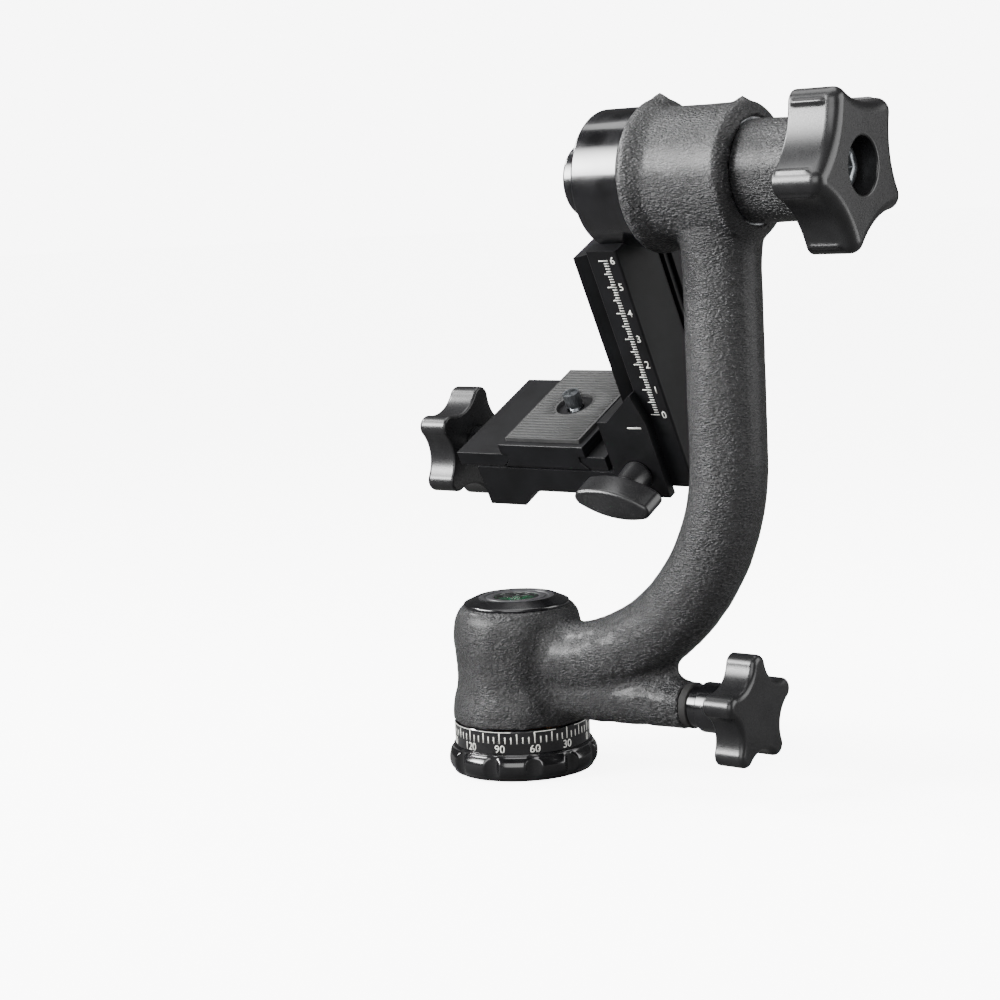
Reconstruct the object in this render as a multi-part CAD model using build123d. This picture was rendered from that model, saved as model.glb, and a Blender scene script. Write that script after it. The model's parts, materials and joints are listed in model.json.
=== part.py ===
from build123d import *
from math import cos, pi, radians, sin, sqrt
import os

# Gimbal tripod head. Millimetres, +Z up along the pan axis, +X towards the cast arm.
# The origin is the centre of the base's bottom face. The tilt axis is parallel to X.
# Cradle parts are drawn upright about the tilt axis and then turned by cradle_tilt.

# ---- Fits and clearances ----
running_gap = 0.04      # radial, a shaft in its bush, a ball on its race
thread_gap = 0.04       # radial, a lock stud in its thread
face_gap = 0.05         # between two faces that turn on each other
slide_gap = 0.08        # between the dovetails and along the jaws
guide_gap = 0.2         # between the carriage's flats and the rail
loose_gap = 0.3         # between parts that pass each other without guiding
overrun = 1.0           # how far a cutter runs past the face that it opens
same = 0.001            # radii closer than this are one radius

# ---- Where the two axes are ----
tilt_axis_z = 206.3
cradle_tilt = 26.44     # degrees, the nose of the lens goes down

# ---- Pan base ----
base_r = 26.55
base_bulge_z = 4.5
base_foot_r = 24.4
base_top_r = 24.6
base_h = 9.9
base_lip = 0.5
flute_count = 11
flute_r = 3.6
flute_floor_r = 24.8
flute_phase = -45.0
tripod_thread_r = 3.97   # 3/8 in - 16, over the tops of its threads
bush_wall = 3.0
stud_room_gap = 0.6      # radial room for a long tripod stud above the bush
stud_room_h = 9.0
band_r = 24.1
band_h = 8.2
band_chamfer = 0.3
band_grub_r = 1.5
band_grub_angle = 150.0
band_grub_sunk = 0.6
band_grub_key = 1.5
band_grub_key_depth = 1.8
spindle_r = 10.0
spindle_flange_r = 17.0
spindle_flange_h = 5.0
spindle_thread_r = 6.0
spindle_thread_len = 7.6
base_screw_r = 2.0
base_screw_head_r = 4.0
base_screw_rim = 0.4     # straight edge of the countersunk head
base_screw_sunk = 0.2
base_screw_key = 2.5
base_screw_key_depth = 1.6
base_screw_tip_gap = 1.0
base_screw_circle_r = 12.8
base_screw_count = 4
thrust_washer_h = 2.0
pan_nut_flat = 18.0
pan_nut_h = 4.6
pan_spring_h = 1.5
pan_spring_rise = 0.5
pan_spring_r = 11.4

# ---- Bearings, one size in three places ----
bearing_r = 16.0
bearing_w = 7.0
ball_r = 1.7
ball_count = 14
race_lip = 1.75          # radial thickness of a race at its shoulder

# ---- Hub of the arm ----
hub_bottom_z = base_h + band_h + loose_gap
hub_h = 40.6
hub_flange_r = 24.3
hub_flange_h = 2.6
hub_waist_r = 22.3
hub_waist_h = 12.6       # above the hub's bottom
hub_crown_r = 22.8
hub_crown_drop = 8.5     # below the hub's top
hub_rim_r = 19.3
hub_rim_slope = 35.5     # degrees, of the crown where it meets the cap
hub_clear_r = 12.0       # bore between bush and bearing
cast_chamfer = 0.3
bearing_drop = 10.0      # from the hub's top to the upper face of the pan bearing
pan_bush_r = 13.0
pan_bush_len = 5.6
pan_bush_flange_r = 16.4

# ---- Cap and level ----
cap_low_r = 18.84
cap_h = 2.9
cap_edge_h = 0.5
cap_rim_w = 0.5
cap_spigot_h = 2.0
cap_hole_r = 12.0
level_cup_r = 13.6
level_cup_h = 3.4
level_sunk = 0.2
vial_r = 8.0
vial_h = 2.4
lens_h = 0.9
bubble_r = 1.7
bubble_x = -1.2
bubble_y = -1.6

# ---- J arm ----
arm_r = 12.9
arm_x = 91.3
arm_root_z = 40.8
arm_bend_r = 73.6
arm_hub_blend = 8.0
boss_blend = 4.0
neck_flare = 2.4         # the arm's flare under the barrel
neck_flare_h = 15.0
neck_flare_drop = 15.8   # from the tilt axis to the flare's upper end

# ---- Pan lock, on a boss of the hub ----
lock_h = 11.1            # above the hub's bottom
boss_end_x = 72.2
boss_end_r = 8.1
boss_root_x = 15.0
boss_root_r = 11.0
boss_root_rise = 1.0
boss_insert_r = 6.0
boss_insert_len = 16.0
pan_stud_r = 4.0
pan_stud_neck_r = 3.4
pan_stud_lead = 2.0      # thread that stands out of the insert's inner end
pan_shoe_r = 4.4
pan_shoe_len = 4.0
lock_washer_r = 7.8
lock_washer_h = 3.1
pan_collar_r = 8.5
pan_collar_len = 14.0
pan_collar_neck_r = 7.3
pan_collar_neck_len = 3.6
collar_round = 0.6

# ---- Five-lobe knobs ----
lobes = 5
pan_knob_r = 19.6
pan_knob_lobe_r = 3.8
pan_knob_valley_r = 13.05
pan_knob_w = 11.4
pan_knob_phase = 18.8
tilt_knob_r = 27.0
tilt_knob_lobe_r = 4.6
tilt_knob_valley_r = 20.2
tilt_knob_w = 17.5
tilt_knob_phase = 46.4
tilt_knob_round = 3.2
pan_knob_round = 2.0
knob_skin = 4.0          # plastic left over the end of a stud
knob_back_round = 1.0
clamp_knob_r = 22.0
clamp_knob_lobe_r = 4.2
clamp_knob_valley_r = 15.2
clamp_knob_w = 13.0
clamp_knob_phase = 36.0

# ---- Tilt barrel of the casting ----
barrel_left_w = 23.9     # from the arm's centreline to the barrel's left face
barrel_len = 39.3
barrel_face_r = 23.4
barrel_flange_r = 25.3
barrel_flange_w = 3.5
barrel_flange_slope = 5.0
barrel_chamfer = 1.2
barrel_waist_r = 22.2
barrel_rim_r = 22.6
barrel_rim_w = 3.3       # from the rim to the barrel's right face
barrel_rim_slope = 6.0
barrel_mouth_r = 17.5
barrel_mouth_lip = 2.6
barrel_mouth_depth = 0.9
barrel_seat_drop = 2.0   # the lock's seat, sunk into the barrel's right face
barrel_clear_r = 12.5

# ---- Tilt shaft, drum and lock ----
tilt_shaft_r = 10.0
tilt_stud_r = 6.0
tilt_stud_len = 15.0
right_bearing_drop = 2.7  # from the lock's seat to the bearing
shaft_flange_r = 15.9
shaft_flange_w = 4.0
drum_r = 22.9
drum_w = 19.0
drum_wall = 7.1
drum_round = 1.2
drum_pocket_r = 16.0
drum_spacer_w = 1.6      # radial, the drum's boss on the inner race
drum_cap_r = 18.4
drum_cap_w = 2.7
drum_boss_r = 12.3
drum_boss_w = 11.0
drum_cap_plug = 2.0
friction_disc_r = 20.5
friction_disc_w = 1.0
shaft_screw_r = 1.5
shaft_screw_head_r = 2.7
shaft_screw_head_h = 2.6
shaft_screw_reach = 4.0
shaft_screw_key = 2.5
shaft_screw_key_depth = 1.6
shaft_screw_circle_r = 13.0
shaft_screw_count = 4
race_washer_r = 11.0
race_washer_h = 1.5
tilt_washer_h = 0.7
collar_r = 16.6
collar_end_r = 16.1
collar_len = 21.1
collar_chamfer = 0.5
collar_floor_gap = 1.0   # past the end of the shaft's thread
tilt_bolt_r = 4.0
tilt_bolt_flat = 13.0
tilt_bolt_head_h = 5.0
tilt_bolt_key = 6.0
tilt_bolt_key_depth = 3.5
tilt_recess_r = 9.1
tilt_recess_depth = 12.0
bolt_washer_r = 8.6
bolt_washer_h = 1.2

# ---- Rail, distances down from the tilt axis ----
rail_set_in = 1.6        # the rail's back face behind the drum's left face
rail_w = 12.3
rail_half = 22.9
rail_top = 15.0
rail_end = 108.3
rail_round = 0.8
rail_chamfer = 0.4
groove_low = -1.5
groove_high = 5.5
groove_depth = 1.6
groove_rib_w = 0.9
groove_rib_at = 1.6
dovetail_h = 9.8
dovetail_neck = 13.5
dovetail_wide = 18.0
dovetail_top = 19.8
rail_screw_r = 2.0
rail_screw_head_r = 2.4
rail_screw_y = 9.0
rail_screw_head_h = 3.0
rail_screw_end = 32.0
rail_screw_key = 2.5
rail_screw_key_depth = 1.6
rail_screw_wall_gap = 0.4
spot_face = 0.2
stop_head_r = 2.7
stop_head_h = 1.6
stop_key = 2.0
stop_key_depth = 1.0
stop_shank_r = 1.5
stop_shank_len = 6.0
stop_low = 100.0
stop_slot_depth = 5.4    # of the upper stop's slot, below the carriage's top

# ---- Bracket ----
slide_travel = 60.0
carriage_wall = 7.0      # behind the dovetail
carriage_half = 26.5
carriage_top = 80.0
cheek_w = 3.7            # the cheeks' cover of the rail's edge
fin_top = 69.0
fin_tip_w = 0.6
fin_tip_out = 0.8
fin_root_in = 4.0
gib_w = 3.0
gib_play = 0.75
gib_low_gap = 0.4
gib_high_gap = 0.6
gib_end_gap = 1.0
stop_slot_half = 3.4
foot_top = 101.0
foot_h = 9.6
foot_left_x = -31.8
heel_h = 6.7
heel_x = -15.5
heel_curve_x = -5.5
heel_curve_w = 6.2
heel_curve_h = 2.4
heel_wall = 2.0          # left at the end of the bores in the heel

# ---- Paddle lock ----
paddle_in = 3.7          # from the dovetail's wide face to the paddle's axis
paddle_s = 100.8
paddle_neck_r = 5.0
paddle_neck_root_r = 5.6
paddle_neck_len = 9.5
paddle_w = 10.5
paddle_long = 15.0
paddle_belly = 5.6
paddle_end = 1.9
paddle_turn = 11.0
paddle_round = 0.8
paddle_stud_r = 3.0

# ---- Quick-release clamp and plate ----
plate_half = 19.0
plate_lip = 3.0
plate_h = 9.5
plate_len = 52.0
plate_float = 0.3
pad_h = 1.4
pad_rim = 2.5
jaw_h = 5.4
jaw_w = 8.0
jaw_inset = 1.0
jaw_leg_w = 8.0
jaw_leg_half = 17.0
jaw_leg_inset = 0.5
jaw_travel = 3.0
jaw_screw_r = 2.0
jaw_screw_head_r = 3.6
jaw_screw_head_depth = 4.0
jaw_screw_sunk = 0.4
jaw_screw_key = 3.0
jaw_screw_key_depth = 2.0
jaw_screw_reach = 4.0
jaw_screw_tip_gap = 0.5
jaw_screw_out = 3.6      # from the plate's edge to the screws
jaw_screw_y = 17.0
clamp_drop = 8.0         # from the foot's top to the clamp's axis
clamp_stud_r = 3.0
clamp_stud_tail = 3.0
clamp_neck_len = 9.0
clamp_neck_r = 7.5
guide_pin_r = 2.0
guide_pin_y = 11.0
guide_pin_len = 17.0
guide_pin_wall = 1.0
camera_screw_r = 3.175   # 1/4 in - 20
camera_screw_neck_r = 2.6
camera_screw_reach = 5.0
camera_screw_head_r = 7.0
camera_screw_head_h = 3.2
camera_screw_sunk = 0.3
camera_slot_w = 1.4
camera_slot_depth = 1.3

# ---- Places worked out from the sizes above ----
hub_top_z = hub_bottom_z + hub_h
lock_z = hub_bottom_z + lock_h
spindle_shoulder_z = hub_top_z - bearing_drop
cap_face_z = hub_top_z + cap_h
barrel_left_x = arm_x - barrel_left_w
barrel_right_x = barrel_left_x + barrel_len
barrel_seat_x = barrel_right_x - barrel_seat_drop
tilt_stud_x = barrel_seat_x - right_bearing_drop
drum_left_x = barrel_left_x - drum_w
rail_x = drum_left_x - rail_set_in
dovetail_x = rail_x - dovetail_h
carriage_x = dovetail_x - carriage_wall
foot_end = foot_top + foot_h
heel_end = foot_end + heel_h
clamp_s = foot_top + clamp_drop
stop_high = carriage_top + stop_slot_depth - slide_travel - stop_head_r - slide_gap
dovetail_slope = (dovetail_wide - dovetail_neck) / dovetail_h


# ---- Helpers ----
def ring(radius, bore, low, high):
    """A tube about Z between two heights; a bore of 0 leaves it solid."""
    middle = Pos(0, 0, (low + high) / 2)
    tube = middle * Cylinder(radius, high - low)
    if bore > 0:
        tube -= middle * Cylinder(bore, high - low)
    return tube


def along_x(shape):
    """Turns a shape drawn about Z so that it lies about X, heights becoming X."""
    return Rot(0, 90, 0) * shape


def along_front(shape):
    """Turns a shape drawn about Z so that its heights run towards -Y."""
    return Rot(90, 0, 0) * shape


def block(x_range, y_range, z_range):
    """A box between two values on each axis."""
    spans = (x_range, y_range, z_range)
    centre = [(low + high) / 2 for low, high in spans]
    sides = [high - low for low, high in spans]
    return Pos(*centre) * Box(*sides)


def turned(points):
    """A closed polygon of (radius, height) points, revolved about Z."""
    outline = Polyline(*[(r, 0, z) for r, z in points], close=True)
    return revolve(make_face(outline), Axis.Z)


def around(shape, count, radius, phase=0.0):
    """Copies of a shape on a circle about Z, as one list of solids."""
    return [Rot(0, 0, phase + 360 * k / count) * Pos(radius, 0, 0) * shape for k in range(count)]


def hexagon(across_flats, bore, low, high):
    """A hexagonal nut or head about Z."""
    nut = extrude(RegularPolygon(across_flats / 2, 6, major_radius=False), high - low)
    nut = Pos(0, 0, low) * nut
    if bore > 0:
        nut -= ring(bore, 0, low, high)
    return nut


def star(radius, lobe_r, valley_r, width, phase):
    """A lobed knob about Z from z = 0 up: lobe arcs and valley arcs, tangent to each other."""
    reach = radius - lobe_r
    half_turn = pi / lobes
    spread = reach**2 + valley_r**2 - 2 * reach * valley_r * cos(half_turn) - lobe_r**2
    hollow_r = spread / (2 * lobe_r - 2 * valley_r + 2 * reach * cos(half_turn))

    def at(distance, angle):
        return Vector(distance * cos(angle), distance * sin(angle), 0)

    edges = []
    for k in range(lobes):
        angle = radians(phase) + 2 * k * half_turn
        lobe = at(reach, angle)
        before = at(valley_r + hollow_r, angle - half_turn)
        after = at(valley_r + hollow_r, angle + half_turn)
        next_lobe = at(reach, angle + 2 * half_turn)
        start = lobe + (before - lobe).normalized() * lobe_r
        end = lobe + (after - lobe).normalized() * lobe_r
        next_start = next_lobe + (after - next_lobe).normalized() * lobe_r
        edges.append(ThreePointArc(start, at(radius, angle), end))
        edges.append(ThreePointArc(end, at(valley_r, angle + half_turn), next_start))
    return extrude(make_face(Curve() + edges), width)


def joined(solids):
    """Several separate solids of one node."""
    return Compound(children=[part for item in solids for part in item.solids()])


def bearing(bore_r, low):
    """A ball bearing about Z from a height up: inner race, balls and outer race."""
    high = low + bearing_w
    middle_z = (low + high) / 2
    pitch_r = (bore_r + bearing_r) / 2
    track = Pos(0, 0, middle_z) * Torus(pitch_r, ball_r + running_gap)
    inner = ring(bore_r + race_lip, bore_r, low, high) - track
    outer = ring(bearing_r, bearing_r - race_lip, low, high) - track
    ball = Pos(0, 0, middle_z) * Sphere(ball_r)
    return inner, joined(around(ball, ball_count, pitch_r)), outer


def on_cradle(shape):
    """Puts a part that is drawn about the tilt axis where the head carries it."""
    return Pos(0, 0, tilt_axis_z) * Rot(cradle_tilt, 0, 0) * shape


def outer_rims(shape):
    """The widest circular edges of a turned piece about Z, lowest first."""
    circles = shape.edges().filter_by(GeomType.CIRCLE)
    widest = max(edge.radius for edge in circles)
    return [edge for edge in circles.sort_by(Axis.Z) if widest - edge.radius < same]


def rounded_ends(prism, high_round, low_round):
    """Rounds the outer edges of a prism's high and low end faces."""
    faces = prism.faces().filter_by(GeomType.PLANE).sort_by(Axis.Z)
    prism = fillet(faces[-1].outer_wire().edges(), high_round)
    faces = prism.faces().filter_by(GeomType.PLANE).sort_by(Axis.Z)
    return fillet(faces[0].outer_wire().edges(), low_round)


nodes = {}


# ---- Pan base ----
def base_screw_profile(tip_z, start_z):
    """Half outline of a countersunk screw from its head's face up to its tip."""
    rim_z = base_screw_sunk + base_screw_rim
    cone_z = rim_z + base_screw_head_r - base_screw_r
    return [
        (0, start_z),
        (base_screw_head_r, start_z),
        (base_screw_head_r, rim_z),
        (base_screw_r, cone_z),
        (base_screw_r, tip_z),
        (0, tip_z),
    ]


def make_base():
    edge = ThreePointArc(
        (base_foot_r, 0, base_lip), (base_r, 0, base_bulge_z), (base_top_r, 0, base_h - base_lip)
    )
    rest = Polyline(
        (base_top_r, 0, base_h - base_lip),
        (base_top_r - base_lip, 0, base_h),
        (0, 0, base_h),
        (0, 0, 0),
        (base_foot_r - base_lip, 0, 0),
        (base_foot_r, 0, base_lip),
    )
    plate = revolve(make_face(Curve() + [edge, rest]), Axis.Z)
    flute = ring(flute_r, 0, -overrun, base_h + overrun)
    for cutter in around(flute, flute_count, flute_floor_r + flute_r, flute_phase):
        plate -= cutter
    bush_r = tripod_thread_r + bush_wall
    plate -= ring(bush_r, 0, -overrun, base_h + overrun)

    flange_top = base_h + spindle_flange_h
    tip_z = flange_top - base_screw_tip_gap
    screw = turned(base_screw_profile(tip_z, base_screw_sunk))
    screw -= hexagon(base_screw_key, 0, 0, base_screw_sunk + base_screw_key_depth)
    space = turned(base_screw_profile(tip_z, -overrun))
    screws = around(screw, base_screw_count, base_screw_circle_r, 45)
    spindle = ring(spindle_flange_r, 0, base_h, flange_top)
    spindle += ring(spindle_r, 0, flange_top, spindle_shoulder_z)
    spindle_top_z = spindle_shoulder_z + spindle_thread_len
    spindle += ring(spindle_thread_r, 0, spindle_shoulder_z, spindle_top_z)
    spindle -= ring(tripod_thread_r + stud_room_gap, 0, base_h - overrun, base_h + stud_room_h)
    for cutter in around(space, base_screw_count, base_screw_circle_r, 45):
        plate -= cutter
        spindle -= cutter
    nodes["base_plate"] = plate
    nodes["thread_bush"] = ring(bush_r, tripod_thread_r, 0, base_h)
    nodes["spindle"] = spindle
    nodes["base_screws"] = joined(screws)

    band = ring(band_r, spindle_flange_r, base_h, base_h + band_h)
    band = chamfer(outer_rims(band)[-1], band_chamfer)
    grub_z = base_h + band_h / 2
    grub_end = band_r - band_grub_sunk
    grub = along_x(ring(band_grub_r, 0, spindle_flange_r, grub_end))
    grub -= along_x(hexagon(band_grub_key, 0, grub_end - band_grub_key_depth, band_r))
    socket = along_x(ring(band_grub_r, 0, spindle_flange_r - overrun, band_r + overrun))
    grub_place = Rot(0, 0, band_grub_angle) * Pos(0, 0, grub_z)
    nodes["scale_ring"] = band - grub_place * socket
    nodes["band_grub"] = grub_place * grub

    washer_top = flange_top + thrust_washer_h
    nodes["thrust_washer"] = ring(pan_bush_flange_r, spindle_r, flange_top, washer_top)
    inner, balls, outer = bearing(spindle_r, spindle_shoulder_z - bearing_w)
    nodes["pan_inner_race"] = inner
    nodes["pan_balls"] = balls
    nodes["pan_outer_race"] = outer
    spring_top = spindle_shoulder_z + pan_spring_h
    nodes["pan_spring"] = turned(
        [
            (spindle_thread_r, spindle_shoulder_z + pan_spring_rise),
            (pan_spring_r, spindle_shoulder_z),
            (pan_spring_r, spring_top - pan_spring_rise),
            (spindle_thread_r, spring_top),
        ]
    )
    nodes["pan_nut"] = hexagon(pan_nut_flat, spindle_thread_r, spring_top, spring_top + pan_nut_h)


# ---- Arm casting ----
def arm_line():
    """The arm's centreline: out of the hub, round the bend and up to the barrel."""
    bend_x = arm_x - arm_bend_r
    bend_z = arm_root_z + arm_bend_r
    corner = arm_bend_r * sqrt(0.5)
    root = Line((0, 0, arm_root_z), (bend_x, 0, arm_root_z))
    bend = ThreePointArc(
        (bend_x, 0, arm_root_z), (bend_x + corner, 0, bend_z - corner), (arm_x, 0, bend_z)
    )
    rise = Line((arm_x, 0, bend_z), (arm_x, 0, tilt_axis_z - barrel_clear_r))
    return Curve() + [root, bend, rise]


def hub_body():
    """The hub: a waisted bell with a flange at its foot and a round crown under the cap."""
    flange_z = hub_bottom_z + hub_flange_h
    slope = radians(hub_rim_slope)
    outer_side = Spline(
        (hub_flange_r, 0, flange_z),
        (hub_waist_r, 0, hub_bottom_z + hub_waist_h),
        (hub_crown_r, 0, hub_top_z - hub_crown_drop),
        (hub_rim_r, 0, hub_top_z),
        tangents=[(0, 0, 1), (-cos(slope), 0, sin(slope))],
    )
    inside = Polyline(
        (hub_rim_r, 0, hub_top_z),
        (0, 0, hub_top_z),
        (0, 0, hub_bottom_z),
        (hub_flange_r - cast_chamfer, 0, hub_bottom_z),
        (hub_flange_r, 0, hub_bottom_z + cast_chamfer),
        (hub_flange_r, 0, flange_z),
    )
    return revolve(make_face(Curve() + [outer_side, inside]), Axis.Z)


def barrel_body():
    """The tilt barrel: a wide flange by the drum, a waist and a rim round the lock's mouth."""
    flange_x = barrel_left_x + barrel_flange_w
    rim_x = barrel_right_x - barrel_rim_w
    profile = [
        (0, barrel_left_x),
        (barrel_face_r, barrel_left_x),
        (barrel_flange_r, barrel_left_x + barrel_chamfer),
        (barrel_flange_r, flange_x),
        (barrel_waist_r, flange_x + barrel_flange_slope),
        (barrel_waist_r, rim_x - barrel_rim_slope),
        (barrel_rim_r, rim_x),
        (barrel_mouth_r + barrel_mouth_lip, barrel_right_x - barrel_mouth_depth),
        (barrel_mouth_r, barrel_right_x),
        (0, barrel_right_x),
    ]
    return Pos(0, 0, tilt_axis_z) * along_x(turned(profile))


def neck_body():
    """The arm's flare under the barrel: its side leaves the arm along it and curves out."""
    top_z = tilt_axis_z - neck_flare_drop
    root_z = top_z - neck_flare_h
    side = TangentArc(
        (arm_r, 0, root_z), (arm_r + neck_flare, 0, top_z), tangent=(0, 0, 1)
    )
    inside = Polyline(
        (arm_r + neck_flare, 0, top_z), (0, 0, top_z), (0, 0, root_z), (arm_r, 0, root_z)
    )
    return Pos(arm_x, 0, 0) * revolve(make_face(Curve() + [side, inside]), Axis.Z)


def make_arm():
    hub = hub_body()
    section = Plane(origin=(0, 0, arm_root_z), z_dir=(1, 0, 0)) * Circle(arm_r)
    arm = sweep(section, path=arm_line())
    root_plane = Plane(origin=(boss_root_x, 0, lock_z + boss_root_rise), z_dir=(1, 0, 0))
    end_plane = Plane(origin=(boss_end_x, 0, lock_z), z_dir=(1, 0, 0))
    boss = loft([root_plane * Circle(boss_root_r), end_plane * Circle(boss_end_r)])

    stem = hub + arm
    stem = fillet(new_edges(hub, arm, combined=stem), arm_hub_blend)
    casting = stem + boss
    casting = fillet(new_edges(stem, boss, combined=casting), boss_blend)
    casting += neck_body()
    casting += barrel_body()

    pan_bush_top_z = hub_bottom_z + pan_bush_len
    casting -= ring(hub_clear_r, 0, hub_bottom_z - overrun, hub_top_z)
    casting -= ring(pan_bush_r, 0, hub_bottom_z - overrun, pan_bush_top_z)
    casting -= ring(bearing_r, 0, spindle_shoulder_z - bearing_w, hub_top_z + overrun)
    bore = ring(barrel_clear_r, 0, barrel_left_x - overrun, barrel_right_x + overrun)
    bore += ring(bearing_r, 0, barrel_left_x - overrun, barrel_left_x + bearing_w)
    bore += ring(bearing_r, 0, tilt_stud_x - bearing_w, barrel_right_x + overrun)
    bore += ring(barrel_mouth_r, 0, barrel_seat_x, barrel_right_x + overrun)
    casting -= Pos(0, 0, tilt_axis_z) * along_x(bore)
    insert_x = boss_end_x - boss_insert_len
    lock = ring(boss_insert_r, 0, insert_x, boss_end_x + overrun)
    lock += ring(pan_shoe_r + running_gap, 0, 0, boss_end_x)
    casting -= Pos(0, 0, lock_z) * along_x(lock)
    nodes["arm_casting"] = casting

    bush = ring(pan_bush_r, spindle_r + running_gap, hub_bottom_z, pan_bush_top_z)
    bush_low = base_h + spindle_flange_h + thrust_washer_h + face_gap
    bush += ring(pan_bush_flange_r, spindle_r + running_gap, bush_low, hub_bottom_z)
    nodes["pan_bush"] = bush

    insert = ring(boss_insert_r, pan_stud_r + thread_gap, insert_x, boss_end_x)
    nodes["boss_insert"] = Pos(0, 0, lock_z) * along_x(insert)


def make_cap():
    seat_z = cap_face_z - level_cup_h
    cap = turned(
        [
            (cap_hole_r, hub_top_z - cap_spigot_h),
            (bearing_r, hub_top_z - cap_spigot_h),
            (bearing_r, hub_top_z),
            (cap_low_r, hub_top_z),
            (cap_low_r, hub_top_z + cap_edge_h),
            (level_cup_r + cap_rim_w, cap_face_z),
            (level_cup_r, cap_face_z),
            (level_cup_r, seat_z),
            (cap_hole_r, seat_z),
        ]
    )
    nodes["cap_ring"] = cap
    vial_floor = cap_face_z - level_sunk - lens_h - vial_h
    cup = ring(level_cup_r, 0, seat_z, cap_face_z - level_sunk)
    cup -= ring(vial_r, 0, vial_floor, cap_face_z)
    nodes["level_cup"] = cup
    liquid = ring(vial_r, 0, vial_floor, vial_floor + vial_h)
    bubble_z = vial_floor + vial_h
    pocket = Pos(bubble_x, bubble_y, bubble_z) * Sphere(bubble_r)
    nodes["level_bubble"] = pocket & ring(vial_r, 0, vial_floor, bubble_z)
    nodes["level_liquid"] = liquid - pocket
    nodes["level_lens"] = ring(vial_r, 0, bubble_z, bubble_z + lens_h)


# ---- Pan lock ----
def make_pan_lock():
    def on_axis(shape):
        return Pos(0, 0, lock_z) * along_x(shape)

    shoe_start = spindle_r + face_gap
    shoe_end = shoe_start + pan_shoe_len
    shoe = on_axis(ring(pan_shoe_r, 0, 0, shoe_end))
    nodes["pan_shoe"] = shoe - ring(shoe_start, 0, 0, 2 * lock_z)
    washer_end = boss_end_x + face_gap + lock_washer_h
    collar_end = washer_end + face_gap + pan_collar_len
    stud_end = collar_end + pan_knob_w - knob_skin

    thread_start = boss_end_x - boss_insert_len - pan_stud_lead
    stud = ring(pan_stud_neck_r, 0, shoe_end + face_gap, thread_start)
    stud += ring(pan_stud_r, 0, thread_start, stud_end)
    nodes["pan_stud"] = on_axis(stud)
    washer = ring(lock_washer_r, pan_stud_r, boss_end_x + face_gap, washer_end)
    nodes["lock_washer"] = on_axis(washer)
    neck_start = washer_end + face_gap
    neck_end = neck_start + pan_collar_neck_len
    collar = fillet(outer_rims(ring(pan_collar_r, 0, neck_end, collar_end)), collar_round)
    collar += ring(pan_collar_neck_r, 0, neck_start, neck_end)
    nodes["pan_collar"] = on_axis(collar - ring(pan_stud_r, 0, neck_start, collar_end))
    knob = star(
        pan_knob_r, pan_knob_lobe_r, pan_knob_valley_r, pan_knob_w, pan_knob_phase + 90
    )
    knob = rounded_ends(knob, pan_knob_round, knob_back_round)
    knob = Pos(0, 0, collar_end) * knob - ring(pan_stud_r, 0, collar_end - overrun, stud_end)
    nodes["pan_knob"] = on_axis(knob)


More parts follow.
